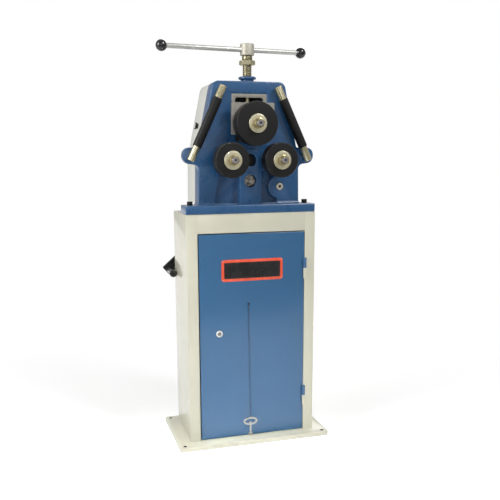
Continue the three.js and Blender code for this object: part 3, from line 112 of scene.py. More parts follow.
def mirrored(side, corners):
    """Corners (x, y, radius) as they are for side 1, and mirrored in x for side -1."""
    return [(side * x, y, radius) for x, y, radius in corners]


def inset(points, amount):
    """The outline moved into its inside by an amount, corner by corner."""
    if not amount:
        return list(points)
    moved = []
    for i, here in enumerate(points):
        back = Vector(here) - Vector(points[i - 1])
        on = Vector(points[(i + 1) % len(points)]) - Vector(here)
        mitre = Vector((-back.y, back.x)).normalized() + Vector((-on.y, on.x)).normalized()
        reach = amount / max(0.3, mitre.length_squared / 2) if mitre.length > 1e-6 else 0
        moved.append((here[0] + mitre.x * reach, here[1] + mitre.y * reach))
    return moved


def cove(radius, steps):
    """(out, up) points of a quarter circle that is hollow towards both axes."""
    return [(radius * (1 - math.sin(a)), radius * (1 - math.cos(a)))
            for a in (math.radians(90) * k / steps for k in range(steps + 1))]


class Shape:
    """Points in millimetres and the faces between them, gathered before they become a mesh."""

    def __init__(self):
        self.points, self.faces, self.flat = [], [], []

    def ring(self, points):
        start = len(self.points)
        self.points += [Vector(p) for p in points]
        return list(range(start, len(self.points)))

    def bridge(self, *rings):
        for one, other in zip(rings, rings[1:]):
            for i in range(len(one)):
                j = (i + 1) % len(one)
                corners = [one[i], one[j], other[j], other[i]]
                kept = [c for k, c in enumerate(corners) if c != corners[k - 1]]
                if len(set(kept)) > 2:
                    self.faces.append(kept)
                    self.flat.append(False)
        return self

    def cap(self, loops):
        order = [i for loop in loops for i in loop]
        for triangle in tessellate_polygon([[self.points[i] for i in loop] for loop in loops]):
            self.faces.append([order[i] for i in triangle])
            self.flat.append(True)

    def add(self, *others):
        for other in others:
            start = len(self.points)
            self.points += [p.copy() for p in other.points]
            self.faces += [[i + start for i in face] for face in other.faces]
            self.flat += other.flat
        return self

    def moved(self, matrix):
        self.points = [matrix @ p for p in self.points]
        return self


def shift(x=0.0, y=0.0, z=0.0):
    return Matrix.Translation((x, y, z))


def edge_profile(low, high, edge):
    """(inset, level) pairs of a plate's edge, rounded at both faces."""
    if not edge:
        return [(0, low), (0, high)]
    curve = cove(edge, 3)
    return [(out, low + up) for out, up in curve] + [(up, high - out) for out, up in curve]


def plate(outer, low, high, edge=0.6, holes=(), profile=None, hole_edge=None):
    """Plate of an outline in XY, from low to high along Z, with rounded edges and holes."""
    shape = Shape()
    profile = profile or edge_profile(low, high, edge)
    hole_edge = edge if hole_edge is None else hole_edge
    first, last = profile[0][1], profile[-1][1]
    rims = edge_profile(min(first, last), max(first, last), hole_edge)
    if first > last:
        rims.reverse()
    starts, ends = [], []
    for outline, sign, steps in [(outer, 1, profile)] + [(hole, -1, rims) for hole in holes]:
        rings = [shape.ring([(x, y, level) for x, y in inset(outline, sign * depth)])
                 for depth, level in steps]
        shape.bridge(*rings)
        starts.append(rings[0])
        ends.append(rings[-1])
    shape.cap(starts)
    shape.cap(ends)
    return shape


def standing(outer, front, rear, **options):
    """Plate of an outline in XZ, from its front to its rear along Y."""
    return plate(outer, -rear, -front, **options).moved(UPRIGHT)


def turned(profile, sides=64):
    """Turned piece about Z through (radius, z) points."""
    shape = Shape()
    return shape.bridge(*[
        shape.ring([(0, 0, z)]) * sides if radius <= 1e-6 else
        shape.ring([(x, y, z) for x, y in disc(0, 0, radius, sides)]) for radius, z in profile])


def spun(profile, edge=0.6, sides=64):
    """Turned piece through a (radius, z) profile whose corners off the axis are rounded."""
    out = [profile[0]]
    for last, here, after in zip(profile, profile[1:], profile[2:]):
        p, a, b = Vector(here), Vector(last), Vector(after)
        reach = min(edge, (a - p).length / 2.2, (b - p).length / 2.2)
        if reach < 0.05 or (a - p).angle(b - p) > math.radians(172):
            out.append(here)
            continue
        start, end = p + (a - p).normalized() * reach, p + (b - p).normalized() * reach
        for t in (0, 1 / 3, 2 / 3, 1):
            out.append(tuple(start * (1 - t) ** 2 + p * 2 * t * (1 - t) + end * t ** 2))
    return turned(out + [profile[-1]], sides)


def rod(radius, low, high, edge, sides, bore=0):
    """Round bar about Z or, with a bore, a tube."""
    profile = [(bore, low), (radius, low), (radius, high), (bore, high)]
    return spun(profile + profile[:1] if bore else profile, edge, sides)


def hole_shade_disc(radius, level):
    """Dark disc at the bottom of a centre hole in a shaft's end: painted shade in the hole."""
    return turned([(0, level), (radius, level + 0.3), (radius, level - 0.4), (0, level - 0.4)], 24)


def hex_nut(flats, low, high, bore=0.0):
    """Hexagon with turned chamfers, and a bore where one is given."""
    shape, sides = Shape(), 72
    turns = [math.tau * i / sides for i in range(sides)]
    reach = [flats / 2 / math.cos((a + math.pi / 6) % (math.pi / 3) - math.pi / 6) for a in turns]
    face = flats / 2 * 0.97
    drop = [(r - face) * math.tan(math.radians(30)) for r in reach]

    def ring(level, radii, slope=0):
        return shape.ring([(r * math.cos(a), r * math.sin(a), level + slope * d)
                           for a, r, d in zip(turns, radii, drop)])

    def circle(level, radius):
        return ring(level, [radius] * sides)

    rings = [circle(low, face), ring(low, reach, 1), ring(high, reach, -1), circle(high, face)]
    if bore:
        rings += [circle(high, bore + 1.0), circle(high - 1.0, bore), circle(low + 1.0, bore),
                  circle(low, bore + 1.0), rings[0]]
    else:
        rings = [shape.ring([(0, 0, low)]) * sides, *rings, shape.ring([(0, 0, high)]) * sides]
    return shape.bridge(*rings)


def threaded(radius, pitch, low, high, depth, sides=40, land=0.15):
    """Screw thread about Z as one helical surface that runs out at both ends."""
    shape = Shape()
    rows = []
    for k in range(-1, math.ceil((high - low) / pitch) + 1):
        for share, tall in ((0, 0), (land, 0), (0.5, 1), (0.5 + land, 1)):
            row = []
            for i in range(sides + 1):
                z = min(max(low + (k + share + i / sides) * pitch, low), high)
                rise = tall * min(1, (z - low) / pitch * 2, (high - z) / pitch * 2)
                r, a = radius - depth * (1 - rise), math.tau * i / sides
                row.append((r * math.cos(a), r * math.sin(a), z))
            rows.append(shape.ring(row))
    for one, other in zip(rows, rows[1:]):
        for i in range(sides):
            shape.faces.append([one[i], one[i + 1], other[i + 1], other[i]])
            shape.flat.append(False)
    return shape


def into_mesh(name, shape, soft=SOFT_ANGLE):
    mesh = bpy.data.meshes.new(name)
    mesh.from_pydata([p * MM for p in shape.points], [], shape.faces)
    mesh.polygons.foreach_set("use_smooth", [not flat for flat in shape.flat])
    work = bmesh.new()
    work.from_mesh(mesh)
    bmesh.ops.remove_doubles(work, verts=work.verts, dist=2e-6)
    bmesh.ops.dissolve_degenerate(work, edges=work.edges, dist=1e-6)
    bmesh.ops.recalc_face_normals(work, faces=work.faces)
    work.to_mesh(mesh)
    work.free()
    mesh.set_sharp_from_angle(angle=math.radians(soft))
    mesh.validate()
    return mesh


def new_object(name, data):
    made = bpy.data.objects.new(name, data)
    bpy.context.scene.collection.objects.link(made)
    return made


def add_piece(name, shape, look, body="frame", place=None, node=None, slot=None,
              soft=SOFT_ANGLE):
    """Makes a shape into a piece that rides on a body and may stand for a CAD node."""
    piece = new_object(name, into_mesh(name, shape, soft))
    if place is not None:
        moved = place.copy()
        moved.translation *= MM
        piece.matrix_world = moved
    piece.data.materials.append(finish(look))
    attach(piece, body)
    slot or FINISHES[look][0]
    if node:
        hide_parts(node)
    return piece


def add_fine(node, shape, look, body="frame", place=None, **options):
    """Makes the detailed piece that stands for one CAD node."""
    return add_piece(f"{node}_fine", shape, look, body, place, node, **options)


def refinish(node, look):
    """Gives a CAD node, which keeps its shape, its finish."""
    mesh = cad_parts[node].data
    mesh.materials.clear()
    mesh.materials.append(finish(look))


def carve(piece, tool_shape):
    """Cuts a shape out of a piece, both drawn in the piece's own place."""
    tool = new_object("cutting_tool", into_mesh("cutting_tool", tool_shape))
    tool.matrix_world = piece.matrix_world
    cutter = piece.modifiers.new("cut", "BOOLEAN")
    cutter.operation, cutter.solver, cutter.object = "DIFFERENCE", "EXACT", tool
    bpy.context.view_layer.update()
    result = bpy.data.meshes.new_from_object(piece.evaluated_get(
        bpy.context.evaluated_depsgraph_get()))
    piece.modifiers.remove(cutter)
    old = piece.data
    piece.data = result
    bpy.data.meshes.remove(old)
    bpy.data.objects.remove(tool)
    result.set_sharp_from_angle(angle=math.radians(SOFT_ANGLE))


# Shader trees

def linear(colour):
    """A colour written in display values, 0 to 255, as Blender's linear values."""
    parts = [c / 255 for c in colour]
    return [c / 12.92 if c <= 0.04045 else ((c + 0.055) / 1.055) ** 2.4 for c in parts] + [1.0]


def tinted(colour, share):
    return [min(1.0, c * share) for c in colour[:3]] + [1.0]


class Nodes:
    """Short ways to add nodes to one shader tree."""

    def __init__(self, tree):
        self.tree = tree

    def fill(self, node, inputs):
        for key, value in inputs.items():
            if isinstance(value, bpy.types.NodeSocket):
                self.tree.links.new(value, node.inputs[key])
            else:
                node.inputs[key].default_value = value

    def put(self, kind, inputs=None, **settings):
        node = self.tree.nodes.new(f"ShaderNode{kind}")
        for key, value in settings.items():
            setattr(node, key, value)
        self.fill(node, inputs or {})
        return node

    def calc(self, operation, one, other=0.0, clamp=False):
        return self.put("Math", {0: one, 1: other}, operation=operation,
                        use_clamp=clamp).outputs[0]

    def times(self, one, other, clamp=False):
        return self.calc("MULTIPLY", one, other, clamp)

    def plus(self, one, other):
        return self.calc("ADD", one, other)

    def mixed(self, factor, one, other):
        return self.put("Mix", {0: factor, 6: one, 7: other}, data_type="RGBA").outputs[2]

    def mapped(self, value, low, high, out_low=0.0, out_high=1.0):
        return self.put("MapRange", {"Value": value, "From Min": low, "From Max": high,
                                     "To Min": out_low, "To Max": out_high}).outputs["Result"]

    def noise(self, where, scale, detail=2.0, rough=0.5):
        return self.put("TexNoise", {"Vector": where, "Scale": scale, "Detail": detail,
                                     "Roughness": rough}).outputs["Fac"]

    def measure(self, operation, one, other=(0.0, 0.0, 0.0)):
        return self.put("VectorMath", {0: one, 1: other}, operation=operation).outputs["Value"]

    def split(self, vector):
        return self.put("SeparateXYZ", {0: vector}).outputs

    def own_place(self):
        return self.put("TexCoord").outputs["Object"]

    def placed(self, name, **values):
        """Outputs of a shader group, which is made on its first use."""
        group = bpy.data.node_groups.get(name) or make_group(name)
        node = self.put("Group", node_tree=group)
        for key, value in values.items():
            node.inputs[key.replace("_", " ").title()].default_value = value
        return node.outputs


GROUPS = {}


def shader_group(name, outputs, inputs):
    """Keeps the function that fills a shader group until the group is first placed."""
    def keep(fill):
        GROUPS[name] = outputs, inputs, fill
        return fill
    return keep


def make_group(name):
    outputs, inputs, fill = GROUPS[name]
    tree = bpy.data.node_groups.new(name, "ShaderNodeTree")
    for label, default in inputs.items():
        socket = tree.interface.new_socket(label, in_out="INPUT", socket_type="NodeSocketFloat")
        socket.default_value = default
    for label in outputs:
        tree.interface.new_socket(label, in_out="OUTPUT", socket_type="NodeSocketFloat")
    results = fill(Nodes(tree), tree.nodes.new("NodeGroupInput").outputs)
    end = tree.nodes.new("NodeGroupOutput")
    for label, result in zip(outputs, results):
        tree.links.new(result, end.inputs[label])
    return tree


@shader_group("Edge Wear", ["Mask"], {"Radius": 0.002, "Amount": 1.0, "Scale": 90.0})
def edge_wear(t, given):
    """Mask of rubbed edges: where the rounded normal leaves the true one, broken by noise."""
    soft = t.put("Bevel", {"Radius": given["Radius"]}, samples=4).outputs[0]
    true = t.put("NewGeometry").outputs["Normal"]
    facing = t.measure("DOT_PRODUCT", soft, true)
    bend = t.mapped(t.calc("SUBTRACT", 1.0, facing), 0.03, 0.22)
    broken = t.mapped(t.noise(t.own_place(), given["Scale"], 4.0, 0.65), 0.42, 0.62)
    return [t.times(t.times(bend, broken), given["Amount"], clamp=True)]


@shader_group("Paint Skin", ["Height", "Tone"],
              {"Peel Scale": 700.0, "Cast Scale": 120.0, "Cast Share": 0.5})
def paint_skin(t, given):
    """Height of sprayed enamel: fine orange peel over the sand-cast or rolled surface below."""
    where = t.own_place()
    peel = t.noise(where, given["Peel Scale"], 1.0)
    cast = t.noise(where, given["Cast Scale"], 3.0, 0.6)
    return [t.plus(t.times(peel, 0.35), t.times(cast, given["Cast Share"])),
            t.noise(where, 5.0, 4.0, 0.6)]


@shader_group("Turning Marks", ["Height", "Tone"],
              {"Rings": 4500.0, "Unevenness": 0.5, "Blotches": 35.0})
def turning_marks(t, given):
    """Tool marks of a lathe: fine rings over faces and round the sides, about the own Z axis."""
    place = t.put("TexCoord").outputs
    split, normal = t.split(place["Object"]), t.split(place["Normal"])
    flat = t.put("CombineXYZ", {0: split["X"], 1: split["Y"]}).outputs[0]
    radius = t.measure("LENGTH", flat)
    ends = t.calc("GREATER_THAN", t.calc("ABSOLUTE", normal["Z"]), 0.7)
    path = t.put("Mix", {2: split["Z"], 3: radius, 0: ends}).outputs[0]
    wobble = t.noise(place["Object"], 60.0, 3.0)
    rings = t.calc("SINE", t.plus(t.times(path, given["Rings"]), t.times(wobble, 2.0)))
    bands = t.noise(t.put("CombineXYZ", {0: path}).outputs[0], 420.0, 5.0, 0.7)
    blotches = t.noise(place["Object"], given["Blotches"], 4.0, 0.6)
    banded = t.times(bands, t.calc("SUBTRACT", 1.0, given["Unevenness"]))
    return [t.plus(t.times(rings, 0.25), bands),
            t.plus(banded, t.times(blotches, given["Unevenness"]))]


@shader_group("Settled Dust", ["Mask", "Smudge"], {"Amount": 0.3, "Scale": 14.0})
def settled_dust(t, given):
    """Mask of dust and handling marks: thicker on what faces up, in soft clouds."""
    up = t.split(t.put("NewGeometry").outputs["Normal"])["Z"]
    where = t.own_place()
    clouds = t.noise(where, given["Scale"], 5.0, 0.65)
    lying = t.times(t.mapped(up, 0.3, 0.95), t.mapped(clouds, 0.3, 0.7))
    return [t.times(lying, given["Amount"], clamp=True),
            t.mapped(t.noise(where, 22.0, 6.0, 0.7), 0.35, 0.7)]


# Finishes

DUST_ON_PAINT, DUST_ON_METAL, DUST_ON_PLASTIC = (
    linear(colour) for colour in ((176, 170, 158), (150, 144, 132), (120, 118, 112)))


class Finish(Nodes):
    """A new material and its tree."""

    def __init__(self, name):
        self.material = bpy.data.materials.new(name)
        self.material.use_nodes = True
        super().__init__(self.material.node_tree)

    def surfaced(self, inputs, height, distance, round_off=0.0):
        """Feeds the surface, with a height over edges rounded by a small radius."""
        bump = {"Height": height, "Distance": distance, "Strength": 1.0}
        if round_off:
            bump["Normal"] = self.put("Bevel", {"Radius": round_off}, samples=4).outputs[0]
        normal = self.put("Bump", bump).outputs[0]
        self.fill(self.tree.nodes["Principled BSDF"], {**inputs, "Normal": normal})
        return self.material


def enamel(name, colour, below, roughness, coat=0.7, cast_share=0.3, cast_scale=120.0,
           depth=2e-5, wear=0.4, dust=0.12, round_off=0.0008, span=0.02, smear=0.1, gloss=0.12):
    """Sprayed enamel on metal: soft tone changes, orange peel, rubbed edges and dust."""
    t = Finish(name)
    skin = t.placed("Paint Skin", cast_share=cast_share, cast_scale=cast_scale)
    rub = t.placed("Edge Wear", radius=round_off, amount=wear)["Mask"]
    dirt = t.placed("Settled Dust", amount=dust)
    tone = t.mixed(t.mapped(skin["Tone"], 0.3, 0.7), tinted(colour, 1 - span),
                   tinted(colour, 1 + span))
    dusty = t.mixed(dirt["Mask"], t.mixed(rub, tone, below), DUST_ON_PAINT)
    spread = t.mapped(dirt["Smudge"], 0.0, 1.0, roughness - smear / 2, roughness + smear)
    return t.surfaced({
        "Base Color": dusty, "Roughness": t.plus(spread, t.times(dirt["Mask"], 0.3)),
        "Coat Weight": coat, "Coat Roughness": gloss}, skin["Height"], depth, round_off)


def bare_metal(name, colour, second, roughness, metallic=1.0, rings=4500.0, depth=4e-5,
               unevenness=0.5, blotches=35.0, wear=0.5, wear_and_highlight_colour=(214, 212, 206),
               dust=0.12, round_off=0.0006):
    """Turned or plated metal: two tones in soft bands, tool marks, bright rubbed edges, which on
    rolls, sleeves and washers also paint highlights along the rims.
    """
    t = Finish(name)
    marks = t.placed("Turning Marks", rings=rings, unevenness=unevenness, blotches=blotches)
    rub = t.placed("Edge Wear", radius=max(round_off, 0.0006), amount=wear, scale=160.0)["Mask"]
    dirt = t.placed("Settled Dust", amount=dust)
    tone = t.mixed(t.mapped(marks["Tone"], 0.35, 0.65), colour, second)
    # Edges take the wear colour: rubbed wear, and on rolls and washers a painted highlight too.
    worn_and_highlit = t.mixed(rub, tone, linear(wear_and_highlight_colour))
    spread = t.mapped(marks["Tone"], 0.3, 0.7, roughness - 0.07, roughness + 0.07)
    return t.surfaced({
        "Base Color": t.mixed(dirt["Mask"], worn_and_highlit, DUST_ON_METAL),
        "Roughness": t.plus(spread, t.times(dirt["Smudge"], 0.08)),
        "Metallic": t.mapped(dirt["Mask"], 0.0, 1.0, metallic, metallic * 0.3),
    }, marks["Height"], depth, round_off)


def gloss_plastic(name, colour, second, roughness):
    """Moulded phenolic: deep gloss, faint flow lines and fine scratches in the roughness."""
    t = Finish(name)
    where = t.own_place()
    dirt = t.placed("Settled Dust", amount=0.1, scale=30.0)
    tone = t.mixed(t.noise(where, 45.0, 3.0), tinted(colour, 0.8), second)
    return t.surfaced({
        "Base Color": t.mixed(dirt["Mask"], tone, DUST_ON_PLASTIC),
        "Roughness": t.mapped(dirt["Smudge"], 0.0, 1.0, roughness, roughness + 0.14),
        "Coat Weight": 0.4}, t.noise(where, 260.0, 2.0), 2e-5)


def twisted_string(name, colour, second, roughness):
    """Laid yarn: strands that wind round the string, with a little fluff in their tone."""
    t = Finish(name)
    where = t.own_place()
    split = t.split(where)
    slant = t.plus(t.times(split["Z"], 3200.0), t.times(split["X"], 2600.0))
    strand = t.mapped(t.calc("SINE", slant), -1.0, 1.0)
    fluff = t.noise(where, 900.0, 3.0)
    return t.surfaced({
        "Base Color": t.mixed(t.times(strand, fluff), tinted(colour, 0.6), second),
        "Roughness": t.mapped(fluff, 0.3, 0.7, roughness, roughness + 0.2),
    }, strand, 0.0003)


PLATE = dict(coat=0.5, depth=3e-5, wear=0.5, dust=0.15, round_off=0.0004, span=0.06)
ZINC = dict(unevenness=0.8, dust=0.1, depth=2e-5)
# Each finish: its slot and maker; its colour and second colour, each a display colour, a
# colour property's name or a share of the first; its roughness; and what the maker varies.
FINISHES = {
    "Cast Blue": ("blue_paint", enamel, "head_paint", (92, 112, 132), 0.3, dict(
        coat=0.45, cast_share=1.0, cast_scale=95.0, depth=3e-4, round_off=0.0025, span=0.09)),
    "Door Blue": ("blue_paint", enamel, "door_paint", (120, 124, 126), 0.2, dict(
        wear=0.35, dust=0.1, span=0.035, smear=0.03)),
    "Cabinet Cream": ("cream_paint", enamel, "cabinet_paint", (176, 170, 150), 0.34, dict(
        dust=0.06, gloss=0.06)),
    "Cover White": ("cream_paint", enamel, "cover_paint", (180, 178, 170), 0.34, dict(
        coat=0.3, depth=5e-5)),
    "Plate Red": ("black_plastic", enamel, "plate_border", (190, 190, 188), 0.26, PLATE),
    "Plate Black": ("black_plastic", enamel, "plate_field", (190, 190, 188), 0.26, PLATE),
    # Roll edges: wear, and a painted highlight, the light line along the front rims.
    "Roll Oxide": ("black_oxide", bare_metal, "roll_black", 0.72, 0.42, dict(
        metallic=0.55, rings=5200.0, depth=5e-5, wear=0.9, wear_and_highlight_colour=(120, 120, 122),
        dust=0.25, round_off=0.0012)),
    "Hardware Black": ("black_oxide", bare_metal, (34, 34, 36), (24, 24, 26), 0.36, dict(
        metallic=0.5, rings=3000.0, wear_and_highlight_colour=(110, 110, 110), wear=0.4)),
    "Yellow Zinc": ("zinc_plate", bare_metal, "plating", (200, 192, 158), 0.25, ZINC),
    "Nut Zinc": ("zinc_plate", bare_metal, (190, 177, 132), (136, 122, 84), 0.26, ZINC),
    # Washer rims near white: wear, and a painted highlight round each rim.
    "Washer Zinc": ("zinc_plate", bare_metal, (230, 226, 202), (204, 194, 154), 0.32, dict(
        metallic=0.85, unevenness=0.8, wear=1.0, wear_and_highlight_colour=(244, 243, 236), dust=0.06,
        depth=3e-5)),
    "Aged Zinc": ("zinc_plate", bare_metal, (196, 193, 180), (176, 172, 158), 0.5, dict(
        metallic=0.75, unevenness=0.8, dust=0.15, depth=1e-5)),
    "Lock Chrome": ("zinc_plate", bare_metal, (240, 240, 236), (222, 222, 216), 0.28, dict(
        metallic=0.6, dust=0.05, depth=1e-5)),
    "Oiled Thread": ("zinc_plate", bare_metal, (178, 172, 144), (124, 116, 90), 0.32, dict(
        unevenness=0.7, dust=0.1, depth=3e-5)),
    # Dark grease with bright blotches: the blotches are painted glints of light.
    "Greasy Steel": ("bright_steel", bare_metal, (214, 206, 196), (24, 21, 20), 0.2, dict(
        unevenness=1.0, dust=0.1, blotches=90.0, depth=6e-5)),
    "Bright Steel": ("bright_steel", bare_metal, "steel", 0.86, 0.26, dict(
        rings=2600.0, depth=2e-5, dust=0.08)),
    "Drawn Steel": ("bright_steel", bare_metal, "steel", 0.9, 0.44, dict(
        metallic=0.85, depth=1e-6, unevenness=1.0, wear=0.0, dust=0.04, round_off=0.0)),
    "Shaft Steel": ("bright_steel", bare_metal, (158, 154, 154), (118, 114, 112), 0.42, dict(
        metallic=0.9, rings=1800.0, depth=3e-5, dust=0.15)),
    "Machined Steel": ("bright_steel", bare_metal, (186, 183, 174), (148, 144, 137), 0.36, dict(
        metallic=0.8, rings=1800.0, depth=6e-5, dust=0.3)),
    "Bronze": ("bronze", bare_metal, (186, 146, 92), (158, 118, 72), 0.36, dict(
        wear_and_highlight_colour=(220, 190, 140))),
    "Gloss Plastic": ("black_plastic", gloss_plastic, "plastic", 1.5, 0.1, {}),
    "Twisted String": ("string", twisted_string, "string", 1.5, 0.75, {}),
}


def finish(name):
    """The material of a finish, made when the first piece asks for it."""
    if name in bpy.data.materials:
        return bpy.data.materials[name]
    slot, make, colour, second, roughness, options = FINISHES[name]
    if isinstance(colour, str):
        colour = list(getattr(bpy.context.scene.ring_roller_colours, colour))
    else:
        colour = linear(colour)
    second = tinted(colour, second) if isinstance(second, float) else linear(second)
    return make(name, colour, second, roughness, **options)


# What a user would change

def length_property(name, description, default, low, high):
    return FloatProperty(name=name, description=description, default=default, min=low, max=high,
                         unit="LENGTH")


def colour_property(name, description, colour):
    return FloatVectorProperty(name=name, description=description, subtype="COLOR", size=4,
                               min=0.0, max=1.0, default=linear(colour))


class RingRollerSizes(bpy.types.PropertyGroup):
    """Sizes of the details that the CAD model leaves to this scene"""
    cast_edge: length_property(
        "Casting Edge", "Radius of the cast head's outer edges", 0.0032, 0.0005, 0.005)
    sheet_bend: length_property(
        "Sheet Bend", "Outer radius of the cabinet's folds", 0.0025, 0.001, 0.004)
    screw_pitch: length_property(
        "Screw Pitch", "Travel of the press screw for one turn", 0.006, 0.002, 0.008)
    plate_width: length_property(
        "Plate Width", "Width of the blank plate on the door", 0.217, 0.05, 0.3)
    plate_height: length_property(
        "Plate Height", "Height of the blank plate on the door", 0.074, 0.02, 0.15)
    string_thickness: length_property(
        "String Thickness", "Diameter of the string that holds the key", 0.0019, 0.001, 0.004)


class RingRollerColours(bpy.types.PropertyGroup):
    """Colours of the finishes"""
    head_paint: colour_property("Head Paint", "Enamel on the cast head", (34, 79, 122))
    door_paint: colour_property("Door Paint", "Enamel on the door", (50, 94, 133))
    cabinet_paint: colour_property("Cabinet Paint", "Enamel on cabinet and base", (199, 197, 178))
    cover_paint: colour_property("Cover Paint", "Enamel on the gear cover", (216, 216, 208))
    roll_black: colour_property("Roll Black", "Oxide finish of rolls and sleeves", (33, 32, 32))
    plating: colour_property("Plating", "Yellow zinc on guide rods and lock nut", (214, 206, 172))
    steel: colour_property("Steel", "Bright steel of bar, key and grip", (196, 196, 192))
    plastic: colour_property("Plastic", "Balls and handle cap", (16, 16, 18))
    plate_border: colour_property("Plate Border", "Border of the blank plate", (220, 80, 50))
    plate_field: colour_property("Plate Field", "Field of the blank plate", (24, 23, 23))
    string: colour_property("String", "String of the door key", (78, 92, 116))


def size(name):
    """A size that the user may change, in millimetres."""
    return getattr(bpy.context.scene.ring_roller_sizes, name) / MM


# Studio

FULL_BEAM = 180
# Lamps: name, place, target, size, power, beam angle. The last two light the base plate and
# the low part of the door only.
LAMPS = (
    ("key_light", (1.7, -2.5, 3.5), (0, 0, 0.75), 1.4, 88.0, FULL_BEAM),
    ("side_light", (-3.3, -0.9, 2.1), (0, 0, 0.75), 2.2, 90.0, FULL_BEAM),
    ("front_light", (-0.9, -3.9, 1.3), (0, 0, 0.75), 2.0, 14.0, FULL_BEAM),
    ("back_light", (1.2, 3.0, 2.8), (0, 0, 0.75), 2.4, 45.0, FULL_BEAM),
    ("base_light", (-0.45, -1.3, 3.6), (-0.1, -0.15, 0), 0.4, 0.66, 12),
    ("door_light", (0.4, -3.0, 0.3), (0.05, -0.1, 0.1), 0.6, 0.3, 20),
)
CAMERA_PLACE = (-0.6731, -2.2938, 0.9784)
CAMERA_TURNS = (-16.354, "Z"), (90 - 10.981, "X"), (-0.288, "Z")  # yaw, pitch and roll
FLOOR_REACH, FLOOR_DROP = 14.0, 0.0004
BASE_HALF_WIDTH, BASE_HALF_DEPTH = 0.266, 0.152  # the floor's glow is left out under the base plate: painted shade there


class MakeStage(bpy.types.Operator):
    """Camera at the photograph's place, soft lights, pale floor and white surroundings"""
    bl_idname = "ring_roller.make_stage"
    bl_label = "Studio"

    def execute(self, context):
        context.scene.camera = self.add_camera()
        self.add_lights()
        self.add_floor()
        context.scene.world = self.white_world()
        context.scene.view_settings.view_transform = "Standard"
        return {"FINISHED"}

    def add_camera(self):
        lens = bpy.data.cameras.new("photo_camera")
        lens.sensor_width, lens.lens = 36.0, 49.31
        lens.shift_x, lens.shift_y = 0.01256, 0.08162
        lens.clip_end = 60.0
        camera = new_object("photo_camera", lens)
        yaw, pitch, roll = (Matrix.Rotation(math.radians(angle), 4, axis)
                            for angle, axis in CAMERA_TURNS)
        camera.matrix_world = Matrix.Translation(CAMERA_PLACE) @ yaw @ pitch @ roll
        return camera

    def add_lights(self):
        for name, place, target, size, power, beam in LAMPS:
            lamp = bpy.data.lights.new(name, "AREA")
            lamp.shape, lamp.size, lamp.energy = "DISK", size, power
            lamp.spread = math.radians(beam)
            holder = new_object(name, lamp)
            holder.location = place
            holder.visible_glossy = name != "door_light"  # else the paint mirrors it
            aim = Vector(target) - Vector(place)
            holder.rotation_euler = aim.to_track_quat("-Z", "Y").to_euler()

    def add_floor(self):
        mesh = bpy.data.meshes.new("studio_floor")
        ring = [(x, y, 0.0) for x, y in disc(0, 0, FLOOR_REACH, 48)]
        mesh.from_pydata(ring, [], [list(range(48))])
        floor = new_object("studio_floor", mesh)
        floor.location.z = -FLOOR_DROP
        mesh.materials.append(self.floor_paper())

    def floor_paper(self):
        """White paper that takes the object's shadow near it and fades into the white behind."""
        t = Finish("Floor Paper")
        t.tree.nodes.clear()
        path = t.put("LightPath").outputs
        seen = t.calc("MAXIMUM", path["Is Camera Ray"], t.calc(
            "MAXIMUM", path["Is Glossy Ray"], path["Is Transmission Ray"]))
        where = t.own_place()
        split = t.split(where)
        away = t.measure("LENGTH", where)
        # Under the base plate the paper loses its glow, a painted shade seen through the anchor
        # holes.
        under = t.times(
            t.calc("LESS_THAN", t.calc("ABSOLUTE", split["X"]), BASE_HALF_WIDTH),
            t.calc("LESS_THAN", t.calc("ABSOLUTE", split["Y"]), BASE_HALF_DEPTH))
        lit = t.times(seen, t.calc("SUBTRACT", 1.0, under))
        # Far in front the paper turns dark to glossy rays only: a painted dark reflection in the
        # glossy surfaces.
        far_front = t.times(t.mapped(split["Y"], -1.75, -2.0), path["Is Glossy Ray"])
        paper = t.put("BsdfDiffuse", {"Color": t.mixed(
            t.noise(where, 900.0), linear((229, 229, 229)), linear((233, 233, 233)))})
        lift = t.put("Emission", {"Strength": t.times(lit, 0.3)})
        near = t.put("AddShader", {0: paper.outputs[0], 1: lift.outputs[0]})
        white = t.put("Emission", {"Strength": t.mapped(far_front, 0.0, 1.0, 1.0, 0.18)})
        blend = t.put("MixShader", {0: t.times(t.mapped(away, 0.55, 1.6), seen),
                                    1: near.outputs[0], 2: white.outputs[0]})
        t.put("OutputMaterial", {"Surface": blend.outputs[0]})
        return t.material

    def white_world(self):
        world = bpy.data.worlds.new("white_studio")
        world.use_nodes = True
        t = Nodes(world.node_tree)
        t.tree.nodes.clear()
        path = t.put("LightPath").outputs
        seen = t.calc("MAXIMUM", path["Is Camera Ray"], path["Is Transmission Ray"])
        fill = t.mapped(path["Is Glossy Ray"], 0.0, 1.0, 0.3, 0.42)
        glow = t.put("Background", {"Color": (1.0, 1.0, 1.0, 1.0),
                                    "Strength": t.calc("MAXIMUM", seen, fill)})
        t.put("OutputWorld", {"Surface": glow.outputs[0]})
        return world


# Key on its string

STRING_ROUTE = (
    (-14.8, -109.2, 487.7), (-14.75, -109.0, 484.0), (-14.6, -108.7, 477.5), (-14.3, -108.5, 460.0),
    *((-13.9 + 0.4 * k, -108.4, 430.0 - 30 * k) for k in range(10)),
    (-9.9, -108.5, 130.0), (-9.6, -108.7, 108.0), (-9.45, -109.1, 91.0), (-9.4, -109.4, 82.9),
)


